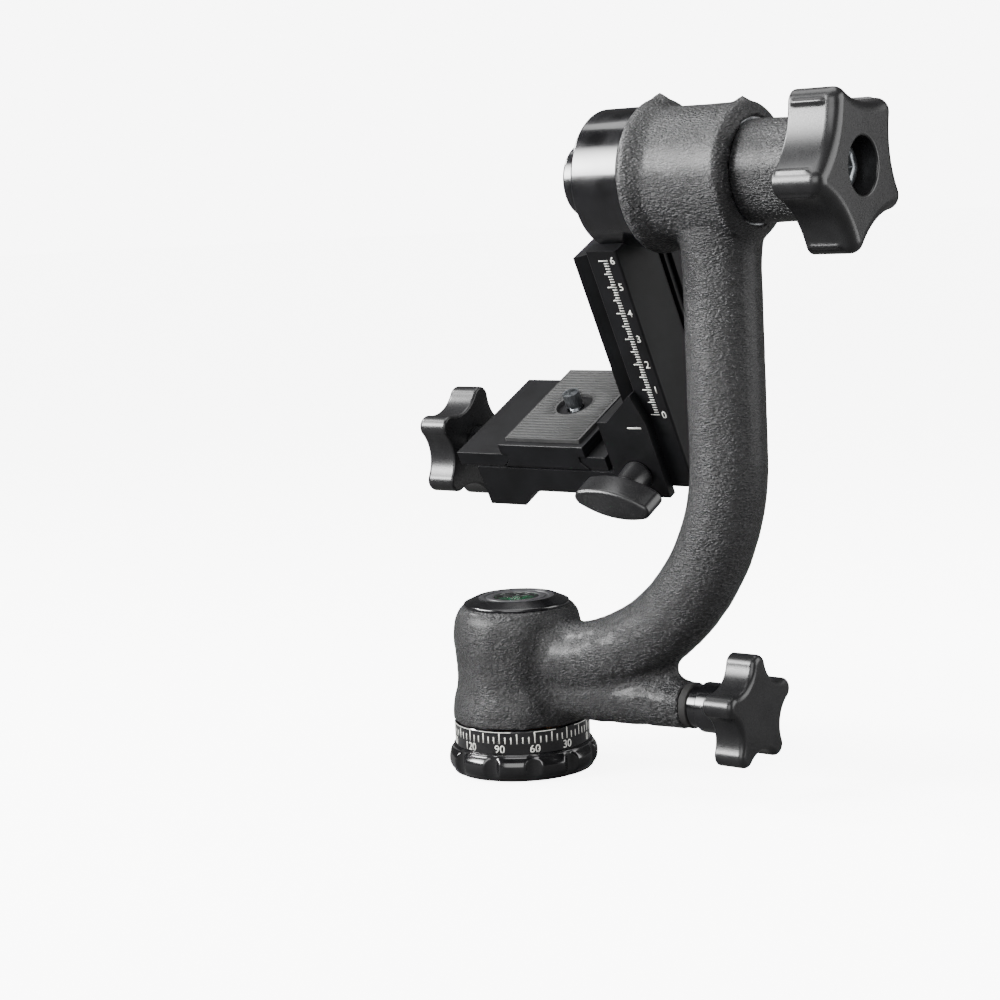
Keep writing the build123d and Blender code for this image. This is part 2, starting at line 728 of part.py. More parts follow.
# ---- Tilt shaft, drum and bearings ----
def make_tilt():
    drum_end = barrel_left_x - loose_gap
    pocket_end = drum_end - drum_wall
    drum = ring(drum_r, 0, drum_left_x, drum_end)
    drum = fillet(outer_rims(drum)[0], drum_round)
    drum += ring(tilt_shaft_r + drum_spacer_w, 0, drum_end, barrel_left_x)
    drum -= ring(drum_pocket_r, 0, drum_left_x - overrun, pocket_end)
    drum -= ring(tilt_shaft_r, 0, pocket_end - overrun, barrel_left_x + overrun)
    disc_end = barrel_left_x - face_gap
    disc_start = disc_end - friction_disc_w
    disc_bore = bearing_r + loose_gap
    disc = ring(friction_disc_r, disc_bore, disc_start, disc_end)
    drum -= ring(friction_disc_r, disc_bore, disc_start, drum_end + overrun)

    flange_start = pocket_end - shaft_flange_w
    shaft = ring(shaft_flange_r, 0, flange_start, pocket_end)
    shaft += ring(tilt_shaft_r, 0, pocket_end, tilt_stud_x)
    shaft += ring(tilt_stud_r, 0, tilt_stud_x, tilt_stud_x + tilt_stud_len)
    head_start = flange_start - shaft_screw_head_h
    screw_end = pocket_end + shaft_screw_reach
    screw = ring(shaft_screw_head_r, 0, head_start, flange_start)
    screw += ring(shaft_screw_r, 0, flange_start, screw_end)
    screw -= hexagon(shaft_screw_key, 0, head_start - overrun, head_start + shaft_screw_key_depth)
    hole = ring(shaft_screw_r, 0, flange_start - overrun, screw_end)
    for cutter in around(hole, shaft_screw_count, shaft_screw_circle_r):
        shaft -= cutter
        drum -= cutter
    screws = joined(around(screw, shaft_screw_count, shaft_screw_circle_r))

    plug_end = drum_left_x + drum_cap_plug
    cap = ring(drum_cap_r, 0, drum_left_x - drum_cap_w, drum_left_x)
    cap = fillet(outer_rims(cap)[0], drum_round)
    boss = ring(drum_boss_r, 0, drum_left_x - drum_boss_w, drum_left_x)
    cap += fillet(outer_rims(boss)[0], drum_round)
    cap += ring(drum_pocket_r, 0, drum_left_x, plug_end)

    drum = along_x(drum)
    rail_screw_x = plug_end + rail_screw_head_r + rail_screw_wall_gap
    screw_seat = sqrt(drum_pocket_r**2 - rail_screw_y**2) - spot_face
    key_floor = rail_screw_head_h - screw_seat - rail_screw_key_depth
    rail_screws = []
    for side in (-1, 1):
        place = Pos(rail_screw_x, side * rail_screw_y, 0)
        head = ring(rail_screw_head_r, 0, -screw_seat, rail_screw_head_h - screw_seat)
        head -= hexagon(rail_screw_key, 0, key_floor, 0)
        shank = ring(rail_screw_r, 0, -rail_screw_end, -screw_seat)
        rail_screws.append(place * (head + shank))
        drum -= place * (shank + ring(rail_screw_head_r, 0, -screw_seat, 0))
    nodes["drum"] = on_cradle(drum)
    nodes["drum_cap"] = on_cradle(along_x(cap))
    nodes["friction_disc"] = on_cradle(along_x(disc))
    nodes["tilt_shaft"] = on_cradle(along_x(shaft))
    nodes["shaft_screws"] = on_cradle(along_x(screws))
    nodes["rail_screws"] = on_cradle(joined(rail_screws))

    left = bearing(tilt_shaft_r, barrel_left_x)
    right = bearing(tilt_shaft_r, tilt_stud_x - bearing_w)
    names = ("tilt_inner_races", "tilt_balls", "tilt_outer_races")
    for name, first, second in zip(names, left, right):
        pair = along_x(joined([first, second]))
        nodes[name] = Pos(0, 0, tilt_axis_z) * pair if name == names[2] else on_cradle(pair)
    race_washer = ring(race_washer_r, tilt_stud_r, tilt_stud_x, tilt_stud_x + race_washer_h)
    nodes["race_washer"] = on_cradle(along_x(race_washer))
    return rail_screw_x


# ---- Tilt lock ----
def make_tilt_lock():
    washer_start = barrel_seat_x + face_gap
    washer_end = washer_start + tilt_washer_h
    washer_r = barrel_mouth_r - loose_gap
    washer = ring(washer_r, tilt_stud_r + thread_gap, washer_start, washer_end)
    nodes["tilt_washer"] = on_cradle(along_x(washer))

    collar_start = washer_end + face_gap
    collar_end = collar_start + collar_len
    collar = turned(
        [
            (0, collar_start),
            (collar_r - collar_chamfer, collar_start),
            (collar_r, collar_start + collar_chamfer),
            (collar_end_r, collar_end - collar_chamfer),
            (collar_end_r - collar_chamfer, collar_end),
            (0, collar_end),
        ]
    )
    stud_room = tilt_stud_x + tilt_stud_len + collar_floor_gap
    collar -= ring(tilt_stud_r + thread_gap, 0, collar_start - overrun, stud_room)
    collar -= ring(tilt_bolt_r, 0, stud_room - overrun, collar_end + overrun)
    nodes["tilt_collar"] = on_cradle(along_x(collar))

    knob_end = collar_end + tilt_knob_w
    knob = star(
        tilt_knob_r,
        tilt_knob_lobe_r,
        tilt_knob_valley_r,
        tilt_knob_w,
        tilt_knob_phase - cradle_tilt + 90,
    )
    knob = Pos(0, 0, collar_end) * rounded_ends(knob, tilt_knob_round, knob_back_round)
    recess_floor = knob_end - tilt_recess_depth
    knob -= ring(tilt_recess_r, 0, recess_floor, knob_end + overrun)
    knob -= ring(tilt_bolt_r, 0, collar_end - overrun, knob_end)
    nodes["tilt_knob"] = on_cradle(along_x(knob))
    washer_top = recess_floor + bolt_washer_h
    nodes["bolt_washer"] = on_cradle(
        along_x(ring(bolt_washer_r, tilt_bolt_r, recess_floor, washer_top))
    )
    head = hexagon(tilt_bolt_flat, 0, washer_top, washer_top + tilt_bolt_head_h)
    head_top = washer_top + tilt_bolt_head_h
    head -= hexagon(tilt_bolt_key, 0, head_top - tilt_bolt_key_depth, head_top + overrun)
    bolt = head + ring(tilt_bolt_r, 0, stud_room, washer_top)
    nodes["tilt_bolt"] = on_cradle(along_x(bolt))


# ---- Rail ----
def dovetail(offset, front_extra, depth):
    """Outline of the dovetail in X and Y, offset outwards, with more room on the front side,
    deeper than the rail's by a depth, and run on into what carries it."""
    shift = offset * sqrt(1 + dovetail_slope**2)
    neck = dovetail_neck - dovetail_slope * overrun + shift
    wide = dovetail_wide + dovetail_slope * depth + shift
    return Polyline(
        (rail_x + overrun, neck),
        (dovetail_x - depth, wide),
        (dovetail_x - depth, -wide - front_extra),
        (rail_x + overrun, -neck - front_extra),
        close=True,
    )


def upright(outline, top, end):
    """Extrudes an outline in X and Y between two distances down from the tilt axis."""
    return Pos(0, 0, -end) * extrude(make_face(outline), end - top)


def make_rail(rail_screw_x):
    face_x = rail_x + rail_w
    rail = block((rail_x, face_x), (-rail_half, rail_half), (-rail_end, -rail_top))
    rail = fillet(rail.edges().filter_by(Axis.Z), rail_round)
    rail = chamfer(rail.faces().sort_by(Axis.Z)[0].edges(), rail_chamfer)
    groove = block(
        (face_x - groove_depth, face_x + overrun),
        (groove_low, groove_high),
        (-rail_end - overrun, 0),
    )
    groove -= block(
        (face_x - groove_depth, face_x + overrun),
        (groove_rib_at - groove_rib_w / 2, groove_rib_at + groove_rib_w / 2),
        (-rail_end - overrun, 0),
    )
    rail -= groove
    rail += upright(dovetail(0, 0, 0), dovetail_top, rail_end)
    rail -= along_x(ring(drum_r, 0, rail_x - overrun, face_x + overrun))
    for side in (-1, 1):
        rail -= Pos(rail_screw_x, side * rail_screw_y, 0) * ring(
            rail_screw_r, 0, -rail_screw_end, 0
        )
    stops = []
    for s in (stop_low, stop_high):
        head_x = dovetail_x - stop_head_h
        head = ring(stop_head_r, 0, head_x, dovetail_x)
        head -= hexagon(stop_key, 0, head_x - overrun, head_x + stop_key_depth)
        shank = ring(stop_shank_r, 0, dovetail_x, dovetail_x + stop_shank_len)
        stops.append(Pos(0, 0, -s) * along_x(head + shank))
        rail -= Pos(0, 0, -s) * along_x(shank)
    nodes["rail"] = on_cradle(rail)
    nodes["stop_screws"] = on_cradle(joined(stops))


# ---- Bracket ----
def foot_profile():
    """The platform from the side: flat on top, with a heel under its left end that runs out
    in a tangent curve."""
    curve_end = (heel_curve_x - heel_curve_w, 0, -foot_end - heel_curve_h)
    curve = TangentArc((heel_curve_x, 0, -foot_end), curve_end, tangent=(-1, 0, 0))
    rest = Polyline(
        curve_end,
        (heel_x, 0, -heel_end),
        (foot_left_x, 0, -heel_end),
        (foot_left_x, 0, -foot_top),
        (carriage_x + overrun, 0, -foot_top),
        (carriage_x + overrun, 0, -foot_end),
        (heel_curve_x, 0, -foot_end),
    )
    return make_face(Curve() + [curve, rest])


def make_bracket():
    inner_x = rail_x - guide_gap
    cheek_x = rail_x + cheek_w
    cheek_y = rail_half + guide_gap
    bracket = block(
        (carriage_x, inner_x), (-carriage_half, carriage_half), (-foot_end, -carriage_top)
    )
    fin_tip_x = rail_x + fin_tip_out
    fin = Polyline(
        (fin_tip_x - fin_tip_w, 0, -fin_top),
        (fin_tip_x, 0, -fin_top),
        (cheek_x, 0, -carriage_top),
        (carriage_x + fin_root_in, 0, -carriage_top),
        close=True,
    )
    for low, high in ((-carriage_half, -cheek_y), (cheek_y, carriage_half)):
        bracket += block((carriage_x, cheek_x), (low, high), (-foot_end, -carriage_top))
        bracket += Pos(0, high, 0) * extrude(make_face(fin), high - low, dir=(0, -1, 0))
    foot = extrude(foot_profile(), 2 * carriage_half, dir=(0, 1, 0))
    bracket += Pos(0, -carriage_half, 0) * foot

    channel = dovetail(slide_gap, gib_w + gib_play, slide_gap)
    bracket -= upright(channel, carriage_top - overrun, foot_end + overrun)
    slot_x = dovetail_x - stop_head_h - loose_gap
    low_slot_top = stop_low - stop_slot_half
    high_slot_end = carriage_top + stop_slot_depth
    slots = ((low_slot_top, foot_end + overrun), (carriage_top - overrun, high_slot_end))
    for top, end in slots:
        bracket -= block((slot_x, dovetail_x), (-stop_slot_half, stop_slot_half), (-end, -top))
    stud_hole = ring(paddle_stud_r + thread_gap, 0, 0, carriage_half + overrun)
    bracket -= Pos(dovetail_x + paddle_in, 0, -paddle_s) * along_front(stud_hole)
    bore_start = foot_left_x - overrun
    bore_end = heel_x - heel_wall
    stud_bore = along_x(ring(clamp_stud_r + running_gap, 0, bore_start, bore_end))
    pin_bore = along_x(ring(guide_pin_r + running_gap, 0, bore_start, bore_end))
    bracket -= Pos(0, 0, -clamp_s) * stud_bore
    for side in (-1, 1):
        bracket -= Pos(0, side * guide_pin_y, -clamp_s) * pin_bore
        bracket -= jaw_screw_place(side) * jaw_screw_space()
    nodes["bracket"] = on_cradle(bracket)


def jaw_screw_place(side):
    """Where a jaw screw stands, beyond the plate's edge."""
    return Pos(plate_half + jaw_screw_out, side * jaw_screw_y, 0)


def jaw_screw_space():
    """The hole for a jaw screw, from under the foot up into the fixed jaw."""
    head_top = -foot_end + jaw_screw_head_depth
    hole = ring(jaw_screw_r, 0, -foot_end - overrun, -foot_top + jaw_screw_reach)
    return hole + ring(jaw_screw_head_r, 0, -foot_end - overrun, head_top)


# ---- Slide lock ----
def make_paddle():
    paddle_x = dovetail_x + paddle_in
    shift = slide_gap * sqrt(1 + dovetail_slope**2)

    def flank(x):
        """How far forward the channel's front flank is at an X."""
        return dovetail_wide - dovetail_slope * (x - dovetail_x) + shift

    low_x = dovetail_x + gib_low_gap
    high_x = rail_x - gib_high_gap
    outline = Polyline(
        (low_x, -flank(low_x)),
        (high_x, -flank(high_x)),
        (high_x, -flank(high_x) - gib_w),
        (low_x, -flank(low_x) - gib_w),
        close=True,
    )
    gib = upright(outline, carriage_top + gib_end_gap, foot_end - gib_end_gap)
    nodes["gib"] = on_cradle(gib)

    def on_axis(shape):
        return on_cradle(Pos(paddle_x, 0, -paddle_s) * along_front(shape))

    stud_tip = flank(paddle_x - paddle_stud_r) + gib_w + face_gap
    neck_start = carriage_half + loose_gap
    neck_end = neck_start + paddle_neck_len
    paddle_end_y = neck_end + paddle_w
    stud_end = paddle_end_y - knob_skin
    nodes["paddle_stud"] = on_axis(ring(paddle_stud_r, 0, stud_tip, stud_end))

    sides = []
    for side in (-1, 1):
        sides.append(
            ThreePointArc(
                (-paddle_long, side * paddle_end),
                (0, side * paddle_belly),
                (paddle_long, side * paddle_end),
            )
        )
        end_x = side * paddle_long
        sides.append(Line((end_x, -paddle_end), (end_x, paddle_end)))
    blade = extrude(make_face(Curve() + sides), paddle_w)
    blade = fillet(blade.edges(), paddle_round)
    blade = Pos(0, 0, neck_end) * Rot(0, 0, -paddle_turn) * blade
    neck = turned(
        [
            (0, neck_start),
            (paddle_neck_root_r, neck_start),
            (paddle_neck_r, neck_end),
            (paddle_neck_r, neck_end + overrun),
            (0, neck_end + overrun),
        ]
    )
    knob = blade + neck - ring(paddle_stud_r, 0, neck_start - overrun, stud_end)
    nodes["paddle_knob"] = on_axis(knob)


# ---- Quick-release clamp and plate ----
def jaw_profile(back_x, gap):
    """One jaw in X and Z: a hook over the plate's slanted edge, drawn on the +X side."""
    seat = foot_top - gap
    wall = plate_half + slide_gap + loose_gap
    mouth = plate_half - plate_lip + slide_gap
    return Polyline(
        (wall, 0, -seat),
        (wall, 0, -seat + plate_float),
        (mouth, 0, -foot_top + plate_float + plate_lip),
        (mouth, 0, -foot_top + jaw_h),
        (back_x, 0, -foot_top + jaw_h),
        (back_x, 0, -seat),
        close=True,
    )


def make_clamp():
    half = carriage_half - jaw_inset
    jaw = extrude(make_face(jaw_profile(plate_half + jaw_w, 0)), 2 * half, dir=(0, 1, 0))
    jaw = Pos(0, -half, 0) * jaw
    head_low = -foot_end + jaw_screw_sunk
    head_top = -foot_end + jaw_screw_head_depth
    tip = -foot_top + jaw_screw_reach - jaw_screw_tip_gap
    screw = ring(jaw_screw_head_r, 0, head_low, head_top)
    screw += ring(jaw_screw_r, 0, head_top, tip)
    screw -= hexagon(jaw_screw_key, 0, head_low - overrun, head_low + jaw_screw_key_depth)
    screws = []
    for side in (-1, 1):
        jaw -= jaw_screw_place(side) * jaw_screw_space()
        screws.append(jaw_screw_place(side) * screw)
    nodes["fixed_jaw"] = on_cradle(jaw)
    nodes["jaw_screws"] = on_cradle(joined(screws))

    leg_x = foot_left_x - loose_gap
    leg_end = leg_x - jaw_leg_w
    profile = mirror(make_face(jaw_profile(-leg_end, slide_gap)), about=Plane.YZ)
    moving = Pos(0, -half, 0) * extrude(profile, 2 * half, dir=(0, 1, 0))
    moving += block(
        (leg_end, leg_x), (-jaw_leg_half, jaw_leg_half), (-heel_end + jaw_leg_inset, -foot_top + jaw_h)
    )
    stud_thread = ring(clamp_stud_r + thread_gap, 0, leg_end - overrun, leg_x + overrun)
    moving -= Pos(0, 0, -clamp_s) * along_x(stud_thread)
    pin_start = leg_end + guide_pin_wall
    pin = along_x(ring(guide_pin_r, 0, pin_start, pin_start + guide_pin_len))
    pins = [Pos(0, side * guide_pin_y, -clamp_s) * pin for side in (-1, 1)]
    for item in pins:
        moving -= item
    nodes["clamp_jaw"] = on_cradle(moving)
    nodes["guide_pins"] = on_cradle(joined(pins))

    def on_axis(shape):
        return on_cradle(Pos(0, 0, -clamp_s) * Rot(0, -90, 0) * shape)

    neck_start = -leg_end + jaw_travel + 2 * loose_gap
    neck_end = neck_start + clamp_neck_len
    knob_end = neck_end + clamp_knob_w
    stud_end = knob_end - knob_skin
    nodes["clamp_stud"] = on_axis(ring(clamp_stud_r, 0, clamp_stud_tail - heel_x, stud_end))
    collar = ring(clamp_neck_r, clamp_stud_r, neck_start, neck_end)
    nodes["clamp_collar"] = on_axis(fillet(outer_rims(collar), collar_round))
    knob = star(
        clamp_knob_r, clamp_knob_lobe_r, clamp_knob_valley_r, clamp_knob_w, clamp_knob_phase
    )
    knob = rounded_ends(knob, pan_knob_round, knob_back_round)
    knob = Pos(0, 0, neck_end) * knob - ring(clamp_stud_r, 0, neck_end - overrun, stud_end)
    nodes["clamp_knob"] = on_axis(knob)


def make_plate():
    bottom = foot_top - plate_float
    neck = plate_half - plate_lip
    flange = foot_top - jaw_h - 2 * slide_gap
    top = bottom - plate_h
    right = [
        (plate_half, 0, -bottom),
        (neck, 0, -bottom + plate_lip),
        (neck, 0, -flange),
        (plate_half, 0, -flange),
        (plate_half, 0, -top),
    ]
    left = [(-x, 0, z) for x, _, z in reversed(right)]
    plate = extrude(make_face(Polyline(*right, *left, close=True)), plate_len, dir=(0, 1, 0))
    plate = Pos(0, -plate_len / 2, 0) * plate
    head_low = -bottom + camera_screw_sunk
    head_top = head_low + camera_screw_head_h
    plate -= ring(camera_screw_r + running_gap, 0, -bottom - overrun, -top + overrun)
    pocket_r = camera_screw_head_r + loose_gap
    plate -= ring(pocket_r, 0, -bottom - overrun, head_top + face_gap)
    nodes["lens_plate"] = on_cradle(plate)
    pad_top = -top + pad_h
    pad = block(
        (-plate_half + pad_rim, plate_half - pad_rim),
        (-plate_len / 2 + pad_rim, plate_len / 2 - pad_rim),
        (-top, pad_top),
    )
    pad -= ring(camera_screw_head_r, 0, -top - overrun, pad_top + overrun)
    nodes["plate_pad"] = on_cradle(pad)
    screw = ring(camera_screw_head_r, 0, head_low, head_top)
    slot_end = camera_screw_head_r + overrun
    screw -= block(
        (-slot_end, slot_end),
        (-camera_slot_w / 2, camera_slot_w / 2),
        (head_low - overrun, head_low + camera_slot_depth),
    )
    screw += ring(camera_screw_neck_r, 0, head_top, pad_top)
    screw += ring(camera_screw_r, 0, pad_top, pad_top + camera_screw_reach)
    nodes["camera_screw"] = on_cradle(screw)


make_base()
make_arm()
make_cap()
make_pan_lock()
screw_x = make_tilt()
make_tilt_lock()
make_rail(screw_x)
make_bracket()
make_paddle()
make_clamp()
make_plate()

os.makedirs("parts", exist_ok=True)
for name, shape in nodes.items():
    export_step(shape, f"parts/{name}.step")
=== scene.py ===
import json

import bmesh
import bpy
import numpy as np
from bpy.props import FloatProperty, FloatVectorProperty, IntProperty, PointerProperty
from mathutils import Matrix, Vector


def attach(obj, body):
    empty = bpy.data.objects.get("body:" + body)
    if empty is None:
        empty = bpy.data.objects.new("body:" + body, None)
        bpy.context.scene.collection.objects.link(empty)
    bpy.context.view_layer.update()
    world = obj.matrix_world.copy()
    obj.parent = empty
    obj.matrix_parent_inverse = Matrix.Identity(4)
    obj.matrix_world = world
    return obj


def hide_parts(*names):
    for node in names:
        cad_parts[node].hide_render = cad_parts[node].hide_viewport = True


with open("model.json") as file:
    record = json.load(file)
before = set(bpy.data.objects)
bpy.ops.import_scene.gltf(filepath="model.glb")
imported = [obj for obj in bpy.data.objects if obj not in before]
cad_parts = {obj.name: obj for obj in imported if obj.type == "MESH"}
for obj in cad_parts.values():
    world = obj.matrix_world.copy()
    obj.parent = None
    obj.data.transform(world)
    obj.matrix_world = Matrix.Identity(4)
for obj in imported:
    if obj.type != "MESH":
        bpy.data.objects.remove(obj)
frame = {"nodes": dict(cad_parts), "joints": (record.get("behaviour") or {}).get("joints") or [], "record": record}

bl_info = {
    "name": "Gimbal tripod head",
    "version": (1, 0, 0),
    "blender": (4, 5, 0),
    "location": "3D View > Sidebar > Gimbal head",
    "description": "Dresses the packed gimbal head: castings, knobs, printed scales and finishes",
    "category": "Object",
}

# Shapes are worked out in millimetres, each in the seat of the part that carries it: a place and
# three directions. A node's sizes are read from the packed frame, so nothing is measured twice.
MM = 0.001
NODES = frame["nodes"]
JOINTS = {item["name"]: item for item in frame["joints"]}


# ---- Seats and measures ----
class Seat:
    """A place with three directions. Its own z is the axis that a turned piece spins about."""

    def __init__(self, origin, x, y):
        self.origin = np.array(origin, float)
        self.turn = np.column_stack([x, y, np.cross(x, y)])

    def out(self, points):
        """From this seat's millimetres to the frame's."""
        return self.origin + points @ self.turn.T

    def into(self, points):
        """From the frame's millimetres to this seat's."""
        return (points - self.origin) @ self.turn


RAIL_UP = np.array(JOINTS["bracket_slide"]["axis"])
FRONT = np.array(JOINTS["gib_travel"]["axis"])
RIGHT = np.array([1.0, 0.0, 0.0])
TILT_AT = np.array([0.0, 0.0, JOINTS["tilt"]["pos_m"][2] / MM])
PAN_LOCK_AT = np.array([0.0, 0.0, JOINTS["pan_knob_turn"]["pos_m"][2] / MM])
CLAMP_AT = np.array(JOINTS["clamp_knob_turn"]["pos_m"]) / MM
PADDLE_AT = np.array(JOINTS["paddle_turn"]["pos_m"]) / MM
SCREW_AT = np.array(JOINTS["camera_screw_turn"]["pos_m"]) / MM

WORLD = Seat((0, 0, 0), (1, 0, 0), (0, 1, 0))
CRADLE = Seat(TILT_AT, RIGHT, -FRONT)
TILT_AXIS = Seat(TILT_AT, -FRONT, RAIL_UP)
PAN_LOCK_AXIS = Seat(PAN_LOCK_AT, (0, 1, 0), (0, 0, 1))
CLAMP_AXIS = Seat(CLAMP_AT * (0, 1, 1), FRONT, RAIL_UP)
PADDLE_AXIS = Seat(PADDLE_AT, RIGHT, RAIL_UP)
SCREW_AXIS = Seat(SCREW_AT, RIGHT, -FRONT)


def read(mesh, what="co"):
    """The places of a mesh's vertices, or their normals, as an array."""
    flat = np.empty(len(mesh.vertices) * 3)
    mesh.vertices.foreach_get(what, flat)
    return flat.reshape(-1, 3)


def points_of(node):
    """A node's vertices in the frame's millimetres."""
    return read(NODES[node].data) / MM


def span(node, seat=WORLD):
    """A node's lowest and highest corner, in a seat's directions."""
    points = seat.into(points_of(node))
    return points.min(0), points.max(0)


def reach(node, seat=WORLD):
    """How far a node reaches from its seat's axis."""
    points = seat.into(points_of(node))
    return np.hypot(points[:, 0], points[:, 1]).max()


def extent(node, seat=WORLD):
    """Where a turned node starts and ends along its seat's axis, and how far it reaches."""
    low, high = span(node, seat)
    return low[2], high[2], reach(node, seat)


def lobe_angle(node, seat, lobes):
    """The angle of one lobe: the mean direction of the rim's points, folded into one lobe."""
    points = seat.into(points_of(node))
    radius = np.hypot(points[:, 0], points[:, 1])
    rim = points[radius > 0.985 * radius.max()]
    folded = np.exp(1j * lobes * np.arctan2(rim[:, 1], rim[:, 0])).mean()
    return np.angle(folded) / lobes


# ---- Meshes ----
WELD = 1e-7              # metres, points closer than this are one
NODE_WELD = 1e-6         # metres, the same for the packed nodes


def placed(name, data):
    """A new object in the scene."""
    item = bpy.data.objects.new(name, data)
    bpy.context.scene.collection.objects.link(item)
    return item


def mesh_object(name, points, faces, material, seat=WORLD, body=None, replaces=(), slot=None):
    """Makes a smooth object of points in a seat, and hangs it on a body of the frame."""
    mesh = bpy.data.meshes.new(name)
    mesh.from_pydata((seat.out(np.asarray(points)) * MM).tolist(), [], faces)
    solid = bmesh.new()
    solid.from_mesh(mesh)
    bmesh.ops.remove_doubles(solid, verts=solid.verts, dist=WELD)
    bmesh.ops.dissolve_degenerate(solid, edges=solid.edges, dist=WELD)
    bmesh.ops.recalc_face_normals(solid, faces=solid.faces)
    solid.to_mesh(mesh)
    solid.free()
    mesh.shade_smooth()
    mesh.materials.append(material)
    return settle(placed(name, mesh), body, replaces)


def settle(piece, body, replaces):
    """Says what a finished piece rides on, and which nodes it stands for."""
    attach(piece, body)
    if replaces:
        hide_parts(*replaces)
    return piece


def grid_faces(rows, columns):
    """Four-sided faces between the rows of a grid whose columns close on themselves."""
    first = np.arange((rows - 1) * columns).reshape(rows - 1, columns)
    beside = np.roll(first, -1, axis=1)
    quads = np.stack([first, beside, beside + columns, first + columns], axis=-1)
    return quads.reshape(-1, 4).tolist()


def skin(name, grid, material, seat, **links):
    """A surface over a grid of points, rows by columns, closed round its columns. Rows that
    shrink to a point close it at the ends, and a last row on the first closes it to a ring."""
    rows, columns = grid.shape[:2]
    faces = grid_faces(rows, columns)
    return mesh_object(name, grid.reshape(-1, 3), faces, material, seat, **links)


ARC_STEPS = 7
RUN_SHARE = 0.49         # the most of a straight run that one rounding may take
GUARD = 0.04             # mm, keeps the shading of a flat off the rounding beside it


def rounded(corners, closed=False):
    """A profile in two dimensions: straight runs between corners (x, y, radius), where each
    corner is an arc tangent to both runs, sampled at even angles, with a guard at each end."""
    spots = np.array([corner[:2] for corner in corners], float)
    count = len(corners)
    path = []
    for k, (x, y, radius) in enumerate(corners):
        spot = np.array([x, y], float)
        if radius == 0 or (not closed and k in (0, count - 1)):
            path.append(spot[None])
            continue
        before = spots[k - 1] - spot
        after = spots[(k + 1) % count] - spot
        before_len = np.linalg.norm(before)
        after_len = np.linalg.norm(after)
        before /= before_len
        after /= after_len
        half = np.arccos(np.clip(before @ after, -1, 1)) / 2
        cut = min(radius / np.tan(half), RUN_SHARE * before_len, RUN_SHARE * after_len)
        radius = cut * np.tan(half)
        middle = spot + (before + after) / np.linalg.norm(before + after) * radius / np.sin(half)
        start = np.arctan2(*(spot + before * cut - middle)[::-1])
        end = np.arctan2(*(spot + after * cut - middle)[::-1])
        sweep = (end - start + np.pi) % (2 * np.pi) - np.pi
        angles = start + sweep * np.linspace(0, 1, ARC_STEPS)
        arc = middle + radius * np.column_stack([np.cos(angles), np.sin(angles)])
        ends = spot + np.stack([before, after]) * (cut + min(GUARD, cut * 0.1))
        path.append(np.vstack([ends[:1], arc, ends[1:]]))
    if closed:
        path.append(path[0][:1])
    return np.vstack(path)


POLE_R = 0.01            # how near its axis a turned piece that closes on it starts and ends


def polar(radius, angle, height):
    """Points at radii, angles and heights round the z axis, any of which may be one for all."""
    spots = np.broadcast_arrays(radius * np.cos(angle), radius * np.sin(angle), height)
    return np.stack(spots, axis=-1)


def around(profile, columns=128):
    """A turned surface: each point (radius, height) of a profile carried round the z axis."""
    angle = np.linspace(0, 2 * np.pi, columns, endpoint=False)
    return polar(profile[:, :1], angle, profile[:, 1:])


def spread_evenly(line, columns):
    """Points at even lengths round a closed flat line, and their outward normals."""
    closed = np.vstack([line, line[:1]])
    steps = np.linalg.norm(np.diff(closed, axis=0), axis=1)
    length = np.concatenate([[0], np.cumsum(steps)])
    wanted = np.linspace(0, length[-1], columns, endpoint=False)
    points = np.column_stack([np.interp(wanted, length, closed[:, k]) for k in (0, 1)])
    along = np.roll(points, -1, axis=0) - np.roll(points, 1, axis=0)
    normal = np.column_stack([along[:, 1], -along[:, 0]])
    return points, normal / np.linalg.norm(normal, axis=1, keepdims=True)


def turned(name, corners, material, seat, columns=128, closed=True, **links):
    """A turned piece from the corners (radius, height, rounding) of its half section."""
    return skin(name, around(rounded(corners, closed), columns), material, seat, **links)


def turned_node(node, corners, finish, seat, body, slot, **shape):
    """A turned piece in place of a node."""
    return turned(node + "_turned", corners, FINISH[finish], seat, body=body, replaces=[node],
                  slot=slot, **shape)


def washer(node, finish, seat, body, bore, edge, slot):
    """A ring in place of a turned node: its length and reach from the node, its edges rounded."""
    start, end, outer = extent(node, seat)
    corners = [
        (outer, start, edge), (outer, end, edge), (bore, end, edge / 2), (bore, start, edge / 2),
    ]
    return turned_node(node, corners, finish, seat, body, slot)


def boxes(spans):
    """Closed boxes from their (x, y, z) spans: the corners, eight for each, and the faces."""
    spans = np.asarray(spans, float)
    picks = np.array(np.meshgrid([0, 1], [0, 1], [0, 1], indexing="ij")).reshape(3, 8)
    points = np.stack([spans[:, axis, picks[axis]] for axis in range(3)], axis=-1)
    sides = np.array(
        [[0, 1, 3, 2], [4, 6, 7, 5], [0, 4, 5, 1], [2, 3, 7, 6], [0, 2, 6, 4], [1, 5, 7, 3]]
    )
    faces = sides[None] + 8 * np.arange(len(spans))[:, None, None]
    return points.reshape(-1, 3), faces.reshape(-1, 4).tolist()


FIGURE_WEIGHT = 0.006    # how far a figure's strokes are thickened, for figures 1 high


def words(text, height, thickness):
    """A printed figure as a thin solid mesh, upright in its own x and y and centred on x: its
    points in millimetres and its faces."""
    curve = bpy.data.curves.new("figure", "FONT")
    curve.body = text
    curve.align_x = "CENTER"
    curve.extrude = thickness
    curve.offset = FIGURE_WEIGHT
    curve.resolution_u = 4
    holder = placed("figure", curve)
    bpy.context.view_layer.update()
    seen = holder.evaluated_get(bpy.context.evaluated_depsgraph_get())
    mesh = bpy.data.meshes.new_from_object(seen)
    points = read(mesh)
    faces = [list(polygon.vertices) for polygon in mesh.polygons]
    bpy.data.objects.remove(holder)
    bpy.data.curves.remove(curve)
    bpy.data.meshes.remove(mesh)
    points[:, 1] -= points[:, 1].min()
    points[:, :2] *= height / points[:, 1].max()
    return points, faces


